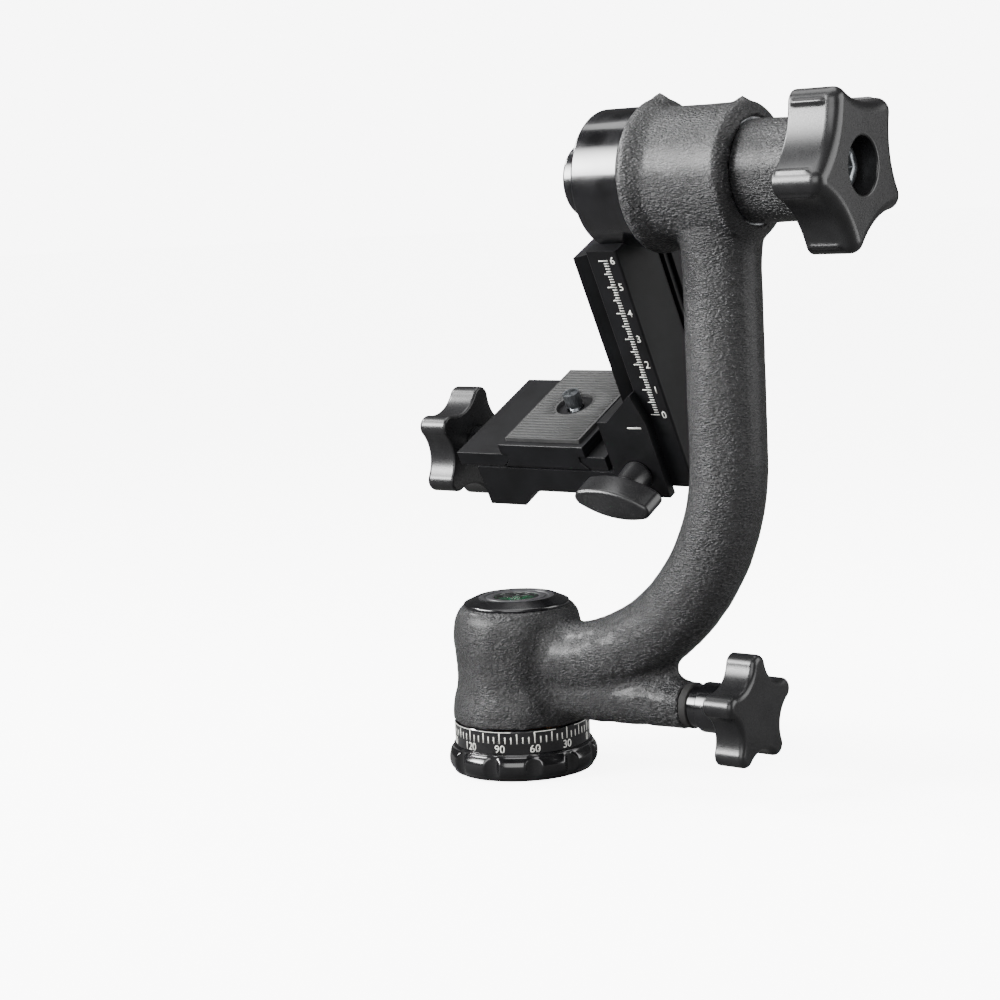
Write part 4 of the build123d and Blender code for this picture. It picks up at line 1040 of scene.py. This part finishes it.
class CastingOperator(PieceOperator, bpy.types.Operator):
    """Makes the arm casting: the node's form re-skinned in even cells, its edges softened as
    a casting's are, with the stubs of its feeders, and its skin lifted by slow waves"""

    bl_idname = "gimbal_head.casting"
    bl_label = "Arm casting"

    STUBS = ((2.3, 24.2, 1.9), (-3.6, 21.9, 1.5))   # place along the barrel, height, size

    # Bored and faced surfaces, where other pieces fit, keep their place.
    PAN_FIT_R = 18.5         # within this of the pan axis
    TILT_FIT_R = 19.5        # within this of the tilt axis
    TILT_FIT_Z = 150         # and above this height
    BOSS_FIT = (71.5, 45)    # beyond this x and below this height, at the boss's end

    SOFTENING = 7            # rounds of smoothing that soften the edges
    LONG, SHORT = 11.0, 3.4  # lengths of the two sets of waves
    CALM = (40, 100)         # heights between which the waves die down

    def execute(self, context):
        casting = context.scene.head_casting
        solid = merged_copy("arm_casting")
        self.add_stubs(solid)
        mesh = bpy.data.meshes.new("arm_casting_skin")
        solid.to_mesh(mesh)
        solid.free()
        piece = placed("arm_casting_skin", mesh)
        remesh = piece.modifiers.new("Even cells", "REMESH")
        remesh.mode = "VOXEL"
        remesh.voxel_size = casting.cell * MM
        smooth = piece.modifiers.new("Cast edges", "SMOOTH")
        smooth.factor = 0.5
        smooth.iterations = self.SOFTENING
        context.view_layer.update()
        seen = piece.evaluated_get(context.evaluated_depsgraph_get())
        skin_mesh = bpy.data.meshes.new_from_object(seen)
        piece.modifiers.clear()
        piece.data = skin_mesh
        bpy.data.meshes.remove(mesh)
        skin_mesh.name = "arm_casting_skin"
        self.lift(skin_mesh, casting)
        skin_mesh.shade_smooth()
        skin_mesh.materials.clear()
        skin_mesh.materials.append(FINISH["coat"])
        settle(piece, "arm", ["arm_casting"])
        return {"FINISHED"}

    def add_stubs(self, solid):
        """Small cones on top of the barrel's flange and rim, where the feeders were broken
        off: each from its place along the barrel, counted from the nearer end."""
        left = span("drum", TILT_AXIS)[1][2]
        right = span("tilt_washer", TILT_AXIS)[0][2]
        for off, height, size in self.STUBS:
            x = left + off if off > 0 else right + off
            place = Matrix.Translation(Vector((TILT_AT + (x, 0, height + size * 0.55)) * MM))
            bmesh.ops.create_cone(
                solid, cap_ends=True, segments=32, radius1=size * 2.6 * MM,
                radius2=size * 0.25 * MM, depth=size * 1.9 * MM, matrix=place,
            )

    def lift(self, mesh, casting):
        """Moves each vertex along its normal by slow waves, and less where parts fit."""
        points = read(mesh) / MM
        about_pan = np.hypot(points[:, 0], points[:, 1])
        about_tilt = np.hypot(points[:, 1], points[:, 2] - TILT_AT[2])
        barrel = (about_tilt < self.TILT_FIT_R) & (points[:, 2] > self.TILT_FIT_Z)
        boss = (points[:, 0] > self.BOSS_FIT[0]) & (points[:, 2] < self.BOSS_FIT[1])
        long = waves(points, self.LONG, casting.waves)
        height = long + waves(points, self.SHORT, casting.waves * 0.5)
        height *= np.interp(points[:, 2], self.CALM, (1.0, 0.3))
        height[(about_pan < self.PAN_FIT_R) | barrel | boss] = 0.0
        points = points + read(mesh, "normal") * height[:, None]
        mesh.vertices.foreach_set("co", (points * MM).ravel())
        mesh.update()


# ---- Turned parts ----
class TurnedPartsOperator(PieceOperator, bpy.types.Operator):
    """Makes the bright turned rings: drum, caps, collars and washers"""

    bl_idname = "gimbal_head.turned_parts"
    bl_label = "Turned parts"

    def execute(self, context):
        self.drum()
        self.cap()
        self.locks()
        return {"FINISHED"}

    def drum(self):
        """The drum, a cup that opens to the left round the shaft's flange, and its cap."""
        start, face, outer = extent("drum", TILT_AXIS)
        end = face - 0.3
        floor = end - 7.1
        cup_r, boss_r, shaft_r = 16.0, 11.6, 10.0
        corners = [
            (cup_r, start, 0.3), (outer, start, 1.2), (outer, end, 0.5), (boss_r, end, 0),
            (boss_r, face, 0), (shaft_r, face, 0), (shaft_r, floor, 0), (cup_r, floor, 0.4),
        ]
        turned_node("drum", corners, "gloss", TILT_AXIS, "cradle", "base_gloss", columns=192)
        left, inside, outer = extent("drum_cap", TILT_AXIS)
        button_r = 12.3
        flange = start - 2.7
        corners = [
            (0, left, 0), (button_r, left, 1.2), (button_r, flange, 0.6), (outer, flange, 1.2),
            (outer, start, 0.2), (cup_r, start, 0), (cup_r, inside, 0), (0, inside, 0),
            (0, left, 0),
        ]
        turned_node("drum_cap", corners, "gloss", TILT_AXIS, "cradle", "base_gloss", closed=False)

    def cap(self):
        """The ring on the hub's top: a low dome that carries the level."""
        low, top, outer = extent("cap_ring")
        foot = top - 2.9
        ledge = top - 3.4
        bore_r, spigot_r, mouth_r = 12.0, 16.0, 13.6
        corners = [
            (bore_r, low, 0), (spigot_r, low, 0), (spigot_r, foot, 0), (outer, foot, 0.15),
            (outer, foot + 0.9, 1.2), (mouth_r + 0.8, top, 0.7), (mouth_r, top, 0.15),
            (mouth_r, ledge, 0), (bore_r, ledge, 0),
        ]
        turned_node("cap_ring", corners, "gloss", WORLD, "arm", "base_gloss", columns=192)

    def locks(self):
        """The collars and washers between the casting and the knobs."""
        start, end, outer = extent("pan_collar", PAN_LOCK_AXIS)
        bore_r, neck_r = 4.0, 7.3
        shoulder = start + 3.6
        corners = [
            (bore_r, start, 0), (neck_r, start, 0.3), (neck_r, shoulder, 0.4),
            (outer, shoulder, 0.6), (outer, end, 0.6), (bore_r, end, 0),
        ]
        turned_node("pan_collar", corners, "gloss", PAN_LOCK_AXIS, "pan_lock", "base_gloss")
        bolt_r, shaft_r = 4.0, 6.04
        washer("lock_washer", "fibre", PAN_LOCK_AXIS, "pan_lock", bore_r, 0.5, "friction_fibre")
        washer("clamp_collar", "gloss", CLAMP_AXIS, "clamp_lock", 3.0, 0.6, "base_gloss")
        washer("tilt_washer", "steel", TILT_AXIS, "tilt_washer", shaft_r, 0.15, "steel")
        washer("bolt_washer", "steel", TILT_AXIS, "tilt_lock", bolt_r, 0.2, "steel")
        start, end, outer = extent("tilt_collar", TILT_AXIS)
        taper = 0.5
        shaft_end = start + 13.2
        corners = [
            (shaft_r, start, 0), (outer, start, 0.6), (outer, start + 3, 0),
            (outer - taper, end, 0.6), (bolt_r, end, 0), (bolt_r, shaft_end, 0),
            (shaft_r, shaft_end, 0),
        ]
        turned("tilt_collar_coated", corners, FINISH["coat"], TILT_AXIS, columns=160,
               body="tilt_lock", replaces=["tilt_collar"], slot="black_anodised")


# ---- Printed scales ----
def by_step(sizes, mark):
    """The size of the first step in a table that a mark is a multiple of."""
    return next(size for step, size in sizes if mark % step == 0)


class ScalesOperator(PieceOperator, bpy.types.Operator):
    """Makes the degree band with its marks, the marks of the rail and the index"""

    bl_idname = "gimbal_head.scales"
    bl_label = "Printed scales"

    ZERO = np.radians(18.0)  # where the degree band starts, from the x axis
    RUNS = ((0, 21), (41, 60), (80, 109), (120, 149), (168, 180))   # its border, degrees
    FOOT = 3.8               # from the band's lower edge to its marks
    TALL = ((30, 4.1), (15, 3.5), (1, 2.35))   # lengths of its marks, by degrees
    DIGIT_GAP = 0.5          # from a mark of the band down to its figure
    BORDER = (3.88, 4.1)     # the border's edges, above the marks' foot
    SUNK = 0.1               # how far a mark reaches into its face
    RAIL_ZERO = 78.5         # from the tilt axis down to the rail's 0
    RAIL_MARKS = 61
    RAIL_STARTS = ((10, 51.1), (5, 51.7), (1, 52.9))   # its marks' ends, by millimetres
    RAIL_ENDS = ((10, 54.8), (1, 54.7))
    DIGIT_AT = 56.6          # middle of the rail's figures, from the tilt seat
    INDEX = ((42.2, 48.0), (-82.3, -81.6))   # the index line's ends, and its edges

    def execute(self, context):
        scales = context.scene.head_scales
        self.band(scales)
        self.rail(scales)
        return {"FINISHED"}

    def band(self, scales):
        """The band is a turned ring; its marks are curved onto it: angle = x / radius."""
        low, top, outer = extent("scale_ring")
        bore = reach("spindle")
        chamfer = 0.45
        corners = [
            (bore, low, 0), (outer, low, 0.2), (outer, top - chamfer, 0.1),
            (outer - chamfer, top, 0.1), (bore, top, 0),
        ]
        turned_node("scale_ring", corners, "gloss", WORLD, "base", "base_gloss", columns=192)
        foot = low + self.FOOT
        half = scales.line / 2
        depth = (-self.SUNK, scales.ink)
        spans, figures = [], []
        for mark in range(0, 360, scales.degree_step):
            value = min(mark, 360 - mark)
            tall = by_step(self.TALL, value)
            at = (self.ZERO - np.radians(mark)) * outer
            spans.append([(at - half, at + half), (foot, foot + tall), depth])
            if value % 30 == 0:
                points, faces = words(str(value), scales.digit, scales.ink)
                figures.append((points + (at, foot - self.DIGIT_GAP - scales.digit, 0), faces))
        border = (foot + self.BORDER[0], foot + self.BORDER[1])
        for first, last in self.RUNS:
            for way in (-1, 1):
                turns = self.ZERO + way * np.radians(np.arange(first, last + 1, 1.0))
                for start, end in zip(turns * outer, turns[1:] * outer):
                    spans.append([(min(start, end), max(start, end)), border, depth])
        points, faces = gathered([boxes(spans), *figures])
        bent = polar(outer + points[:, 2], points[:, 0] / outer, points[:, 1])
        mesh_object("degree_marks", bent, faces, FINISH["ink"], body="base", slot="base_gloss")

    def rail(self, scales):
        """Millimetre marks and figures printed on the rail's front face, and the index line
        on the bracket's cheek."""
        face = span("rail", CRADLE)[0][1]
        half = scales.line * 0.45
        spans, figures = [], []
        for mark in range(self.RAIL_MARKS):
            height = mark - self.RAIL_ZERO
            ends = (by_step(self.RAIL_STARTS, mark), by_step(self.RAIL_ENDS, mark))
            spans.append([ends, (face - scales.ink, face + self.SUNK),
                          (height - half, height + half)])
            if mark % 10 == 0:
                points, faces = words(str(mark // 10), scales.digit, scales.ink)
                flat = np.column_stack([
                    points[:, 0] + self.DIGIT_AT,
                    face - points[:, 2],
                    points[:, 1] + height - scales.digit / 2,
                ])
                figures.append((flat, faces))
        points, faces = gathered([boxes(spans), *figures])
        mesh_object("rail_marks", points, faces, FINISH["ink"], CRADLE, body="cradle",
                    slot="black_anodised")
        cheek = span("bracket", CRADLE)[0][1]
        ends, edges = self.INDEX
        points, faces = boxes([[ends, (cheek - scales.ink, cheek + self.SUNK), edges]])
        mesh_object("index_mark", points, faces, FINISH["ink"], CRADLE, body="bracket",
                    slot="black_anodised")


# ---- Level ----
class LevelOperator(PieceOperator, bpy.types.Operator):
    """Makes the bull's-eye level: its cup, the green floor and the rings printed in it, and
    its lens. The spirit and the bubble are nodes that keep their shape"""

    bl_idname = "gimbal_head.level"
    bl_label = "Level"

    RINGS = (2.6, 4.4)       # radii of the printed rings
    RING_HALF = 0.16         # half a ring's width

    def execute(self, context):
        vial_r = reach("level_liquid")
        floor = span("level_liquid")[0][2]
        self.cup(vial_r, floor)
        self.print_floor(vial_r - 0.02, floor + 0.02, floor + 0.12)
        for k, radius in enumerate(self.RINGS):
            self.print_ring(f"level_ring_{k}", radius, floor + 0.10, floor + 0.16)
        self.lens(vial_r - 0.04)
        return {"FINISHED"}

    def cup(self, vial_r, floor):
        """The cup, with a groove turned in its rim."""
        low, top, outer = extent("level_cup")
        groove = top - 0.3
        corners = [
            (POLE_R, low, 0), (outer, low, 0.2), (outer, top, 0.2),
            (11.6, top, 0.1), (11.3, groove, 0.1), (10.7, groove, 0.1), (10.4, top, 0.1),
            (vial_r + 0.5, top, 0.2), (vial_r, top - 0.4, 0.1),
            (vial_r, floor, 0), (POLE_R, floor, 0), (POLE_R, low, 0),
        ]
        turned_node("level_cup", corners, "cup", WORLD, "arm", "level_case", columns=160,
                    closed=False)

    def print_floor(self, radius, under, over):
        """The green disc on the cup's floor."""
        corners = [
            (POLE_R, under, 0), (radius, under, 0), (radius, over, 0), (POLE_R, over, 0),
            (POLE_R, under, 0),
        ]
        turned("level_floor", corners, FINISH["plate"], WORLD, closed=False, body="arm",
               slot="level_green")

    def print_ring(self, name, radius, under, over):
        """A black ring that the bubble is centred in."""
        near, far = radius - self.RING_HALF, radius + self.RING_HALF
        corners = [(near, under, 0), (far, under, 0), (far, over, 0), (near, over, 0)]
        turned(name, corners, FINISH["black_ink"], WORLD, body="arm", slot="level_case")

    def lens(self, radius):
        """The lens: flat below, a low dome above."""
        low, top = (corner[2] for corner in span("level_lens"))
        under = low + 0.01
        shoulder_r = (radius + 0.04) * 0.6
        corners = [
            (POLE_R, under, 0), (radius, under, 0.05), (radius, top - 0.1, 0.15),
            (shoulder_r, top + 0.12, 6.0), (POLE_R, top + 0.16, 0), (POLE_R, under, 0),
        ]
        turned("level_lens_domed", corners, FINISH["acrylic"], WORLD, closed=False, body="arm",
               replaces=["level_lens"], slot="level_clear")


# ---- Fasteners ----
def hexagon_radius(angle, flat):
    """The radius of a hexagon across flats at an angle."""
    off = (angle + np.pi / 6) % (np.pi / 3) - np.pi / 6
    return flat / 2 / np.cos(off)


def thread(profile_z, root, depth, pitch, columns=48, inward=False):
    """A screw thread as a surface over angle and height: the radius is the root plus the depth
    times a triangle wave of height / pitch less angle / 2 pi. The wave is cut flat at the
    crest and the root, and runs out at both ends of the thread."""
    angle = np.linspace(0, 2 * np.pi, columns, endpoint=False)
    phase = (profile_z[:, None] / pitch - angle[None] / (2 * np.pi)) % 1
    wave = np.clip(1.25 - 2.5 * np.abs(phase - 0.5) * 1.05, 0.0, 1.0)
    end = np.minimum(profile_z - profile_z[0], profile_z[-1] - profile_z) / pitch
    wave = np.minimum(wave, np.clip(end * 1.6, 0, 1)[:, None])
    radius = root + depth * (1 - wave if inward else wave)
    return polar(radius, angle, profile_z[:, None])


class FastenersOperator(PieceOperator, bpy.types.Operator):
    """Makes the bolt in the tilt knob, the camera screw and the thread of the tripod bush"""

    bl_idname = "gimbal_head.fasteners"
    bl_label = "Fasteners"

    BOLT_R = 4.0
    BOLT_FLATS = 13.0
    SOCKET_FLATS = 6.0
    SOCKET_DEPTH = 3.5
    BOLT_COLUMNS = 144
    CAMERA_CREST = 3.175     # 1/4 inch thread, 20 to the inch
    CAMERA_PITCH = 1.27
    CAMERA_DEPTH = 0.62
    TRIPOD_CORE = 3.97       # 3/8 inch thread, 16 to the inch
    TRIPOD_PITCH = 1.5875
    TRIPOD_DEPTH = 0.78

    def execute(self, context):
        self.bolt()
        self.camera_screw()
        self.bush()
        return {"FINISHED"}

    def bolt(self):
        """A hexagon head: each ring is the lesser of the hexagon and the chamfer's cone."""
        end, top = (corner[2] for corner in span("tilt_bolt", TILT_AXIS))
        under = span("bolt_washer", TILT_AXIS)[1][2]
        angle = np.linspace(0, 2 * np.pi, self.BOLT_COLUMNS, endpoint=False)
        hexagon = hexagon_radius(angle, self.BOLT_FLATS)
        socket = hexagon_radius(angle, self.SOCKET_FLATS)
        half = self.BOLT_FLATS / 2
        rings = [
            (POLE_R, end), (self.BOLT_R - 0.4, end), (self.BOLT_R, end + 0.4),
            (self.BOLT_R, under), (np.minimum(hexagon, half - 0.1), under),
        ]
        for height in np.linspace(under + 0.05, top, 12):
            cone = half - 0.25 + (top - height) / np.tan(np.radians(30))
            rings.append((np.minimum(hexagon, cone), height))
        rings += [
            (socket + 0.35, top), (socket, top - 0.3), (socket, top - self.SOCKET_DEPTH),
            (0.5, top - self.SOCKET_DEPTH - 0.4), (POLE_R, top - self.SOCKET_DEPTH - 0.4),
        ]
        grid = np.stack([polar(radius, angle, height) for radius, height in rings])
        skin("tilt_bolt_head", grid, FINISH["zinc"], TILT_AXIS, body="tilt_lock",
             replaces=["tilt_bolt"], slot="screw_steel")

    def camera_screw(self):
        """The thread above the pad, on a plain neck that ends in the screw's head."""
        low, high = span("camera_screw", SCREW_AXIS)
        pad = span("plate_pad", SCREW_AXIS)[1][2]
        core = self.CAMERA_CREST - self.CAMERA_DEPTH
        head, neck_r, tip_r = low[2] + 3.2, 2.6, self.CAMERA_CREST - 0.75
        heights = np.arange(pad, high[2] - 0.35, 0.08)
        start = around(np.array([(POLE_R, head), (neck_r, head), (neck_r, pad)]), 48)
        end = around(np.array([(tip_r, high[2]), (POLE_R, high[2])]), 48)
        cut = thread(heights, core, self.CAMERA_DEPTH, self.CAMERA_PITCH)
        skin("camera_screw_thread", np.concatenate([start, cut, end]), FINISH["zinc"],
             SCREW_AXIS, body="camera_screw", slot="screw_steel")

    def bush(self):
        """The steel bush in the base with its thread."""
        foot, top, outer = extent("thread_bush")
        core = self.TRIPOD_CORE
        heights = np.arange(foot + 0.5, top - 0.3, 0.1)
        rim = [(core + 0.9, foot), (outer, foot), (outer, top), (core + 0.1, top)]
        start = around(np.array(rim), 64)
        cut = thread(heights, core, self.TRIPOD_DEPTH, self.TRIPOD_PITCH, 64, inward=True)
        skin("thread_bush_cut", np.concatenate([start, cut[::-1], start[:1]]), FINISH["steel"],
             WORLD, body="base", replaces=["thread_bush"], slot="steel")


# ---- Paddle ----
class PaddleOperator(PieceOperator, bpy.types.Operator):
    """Makes the paddle that locks the slide"""

    bl_idname = "gimbal_head.paddle"
    bl_label = "Paddle"

    LONG = 15.0              # half its length
    BELLY = 5.6              # half its width in the middle
    END = 1.9                # half its width at the ends
    THICK = 10.5
    TURN = np.radians(-11.0)

    def execute(self, context):
        low, high = span("paddle_knob", PADDLE_AXIS)
        face = high[2]
        back = face - self.THICK
        outline, normal = self.outline(320)
        centre = np.array([(3.0, face), (0, face)])
        grid = knob_grid(outline, normal, back, face, 1.2, 1.4, 4.6, centre)
        skin("paddle_blade", grid, FINISH["nylon"], PADDLE_AXIS, body="paddle",
             replaces=["paddle_knob"], slot="knob_plastic")
        corners = [
            (3.0, low[2], 0), (5.6, low[2], 0.8), (5.0, back - 0.8, 1.5), (5.3, back + 0.6, 0),
            (3.0, back + 0.6, 0),
        ]
        turned("paddle_neck", corners, FINISH["nylon"], PADDLE_AXIS, body="paddle",
               slot="knob_plastic")
        return {"FINISHED"}

    def outline(self, columns):
        """A lens of two arcs whose ends are blunt: half width = end + (belly - end) times the
        arc's height, with its corners rounded."""
        bow = self.BELLY - self.END
        radius = (self.LONG**2 + bow**2) / (2 * bow)
        along = np.linspace(-self.LONG, self.LONG, 400)
        width = self.END + bow - radius + np.sqrt(radius**2 - along**2)
        near_end = self.LONG - np.abs(along)
        width = np.where(
            near_end < self.END,
            width * np.sqrt(np.clip(1 - (1 - near_end / self.END) ** 2, 0, 1)),
            width,
        )
        line = np.vstack([
            np.column_stack([along, -width]),
            np.column_stack([along[::-1], width[::-1]])[1:-1],
        ])
        cos, sin = np.cos(self.TURN), np.sin(self.TURN)
        return spread_evenly(line @ np.array([[cos, sin], [-sin, cos]]), columns)


# ---- Milled parts ----
class MilledPartsOperator(PieceOperator, bpy.types.Operator):
    """Breaks the edges of the milled and extruded parts and ribs the pad"""

    bl_idname = "gimbal_head.milled_parts"
    bl_label = "Milled parts"

    PIECES = (               # node, width of its broken edges, body
        ("rail", 0.25, "cradle"),
        ("bracket", 0.3, "bracket"),
        ("fixed_jaw", 0.3, "bracket"),
        ("clamp_jaw", 0.3, "clamp_jaw"),
        ("lens_plate", 0.3, "plate"),
    )
    RIB_HALF = 0.55          # half a rib's width
    RIB_HEIGHT = 0.4
    RIB_PITCH = 1.75
    RIB_TAPER = 0.3          # length over which a rib runs out at its ends
    CLEAR_R = 7.9            # no ribs within this of the screw

    def execute(self, context):
        for node, width, body in self.PIECES:
            eased(node, width, FINISH["satin"], body)
        self.ribs()
        return {"FINISHED"}

    def ribs(self):
        """Half-round ribs across the pad, each a bar along x, left out round the screw."""
        low, high = span("plate_pad", SCREW_AXIS)
        turn = np.linspace(0, np.pi, 7)
        across, rise = -np.cos(turn) * self.RIB_HALF, np.sin(turn) * self.RIB_HEIGHT
        left, right = low[0] + 0.8, high[0] - 0.8
        foot = high[2] - 0.02
        parts = []
        for y in np.arange(low[1] + 1.4, high[1] - 1.0, self.RIB_PITCH):
            hole = np.sqrt(max(self.CLEAR_R**2 - y**2, 0))
            for start, end in ((left, -hole), (hole, right)) if hole else ((left, right),):
                along = (start, start + self.RIB_TAPER, end - self.RIB_TAPER, end)
                rows = [
                    np.column_stack([np.full(len(turn), x), y + across * wide, foot + rise * tall])
                    for x, wide, tall in zip(along, (0.02, 1, 1, 0.02), (0, 1, 1, 0))
                ]
                grid = np.stack(rows)
                parts.append((grid.reshape(-1, 3), grid_faces(*grid.shape[:2])))
        points, faces = gathered(parts)
        mesh_object("pad_ribs", points, faces, FINISH["rubber"], SCREW_AXIS, body="plate",
                    slot="rubber")


# ---- Finishes of the nodes ----
class FinishesOperator(PieceOperator, bpy.types.Operator):
    """Makes the finishes and gives every node its own"""

    bl_idname = "gimbal_head.finishes"
    bl_label = "Finishes"

    SLOTS = {
        "base_gloss": "gloss",
        "steel": "steel",
        "screw_steel": "zinc",
        "bearing_steel": "race",
        "powder_coat": "coat",
        "bronze": "bronze",
        "black_anodised": "satin",
        "level_case": "nylon",
        "level_green": "spirit",
        "level_air": "acrylic",
        "level_clear": "acrylic",
        "friction_fibre": "fibre",
        "knob_plastic": "nylon",
        "rubber": "rubber",
    }

    def execute(self, context):
        make_finishes(context.scene)
        for item in frame["record"]["subparts"]:
            mesh = NODES[item["node"]].data
            mesh.materials.clear()
            mesh.materials.append(FINISH[self.SLOTS[item["material_slot"]]])
        return {"FINISHED"}


OPERATORS = (
    StageOperator,
    FinishesOperator,
    CastingOperator,
    PanBaseOperator,
    KnobsOperator,
    PaddleOperator,
    TurnedPartsOperator,
    ScalesOperator,
    LevelOperator,
    FastenersOperator,
    MilledPartsOperator,
)


class HeadPanel(bpy.types.Panel):
    """Sizes, colours and pieces of the head"""

    bl_idname = "VIEW3D_PT_gimbal_head"
    bl_label = "Gimbal head"
    bl_space_type = "VIEW_3D"
    bl_region_type = "UI"
    bl_category = "Gimbal head"

    def draw(self, context):
        for name, group in GROUPS.items():
            box = self.layout.box()
            box.label(text=group.__doc__)
            for key in group.__annotations__:
                box.prop(getattr(context.scene, name), key)
        for operator in OPERATORS:
            self.layout.operator(operator.bl_idname)


def register():
    for name, group in GROUPS.items():
        bpy.utils.register_class(group)
        setattr(bpy.types.Scene, name, PointerProperty(type=group))
    for operator in OPERATORS:
        bpy.utils.register_class(operator)
    bpy.utils.register_class(HeadPanel)


def unregister():
    bpy.utils.unregister_class(HeadPanel)
    for operator in reversed(OPERATORS):
        bpy.utils.unregister_class(operator)
    for name, group in reversed(GROUPS.items()):
        delattr(bpy.types.Scene, name)
        bpy.utils.unregister_class(group)


def main():
    register()
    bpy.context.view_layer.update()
    for operator in OPERATORS:
        family, name = operator.bl_idname.split(".")
        getattr(getattr(bpy.ops, family), name)()


if __name__ == "__main__":
    main()
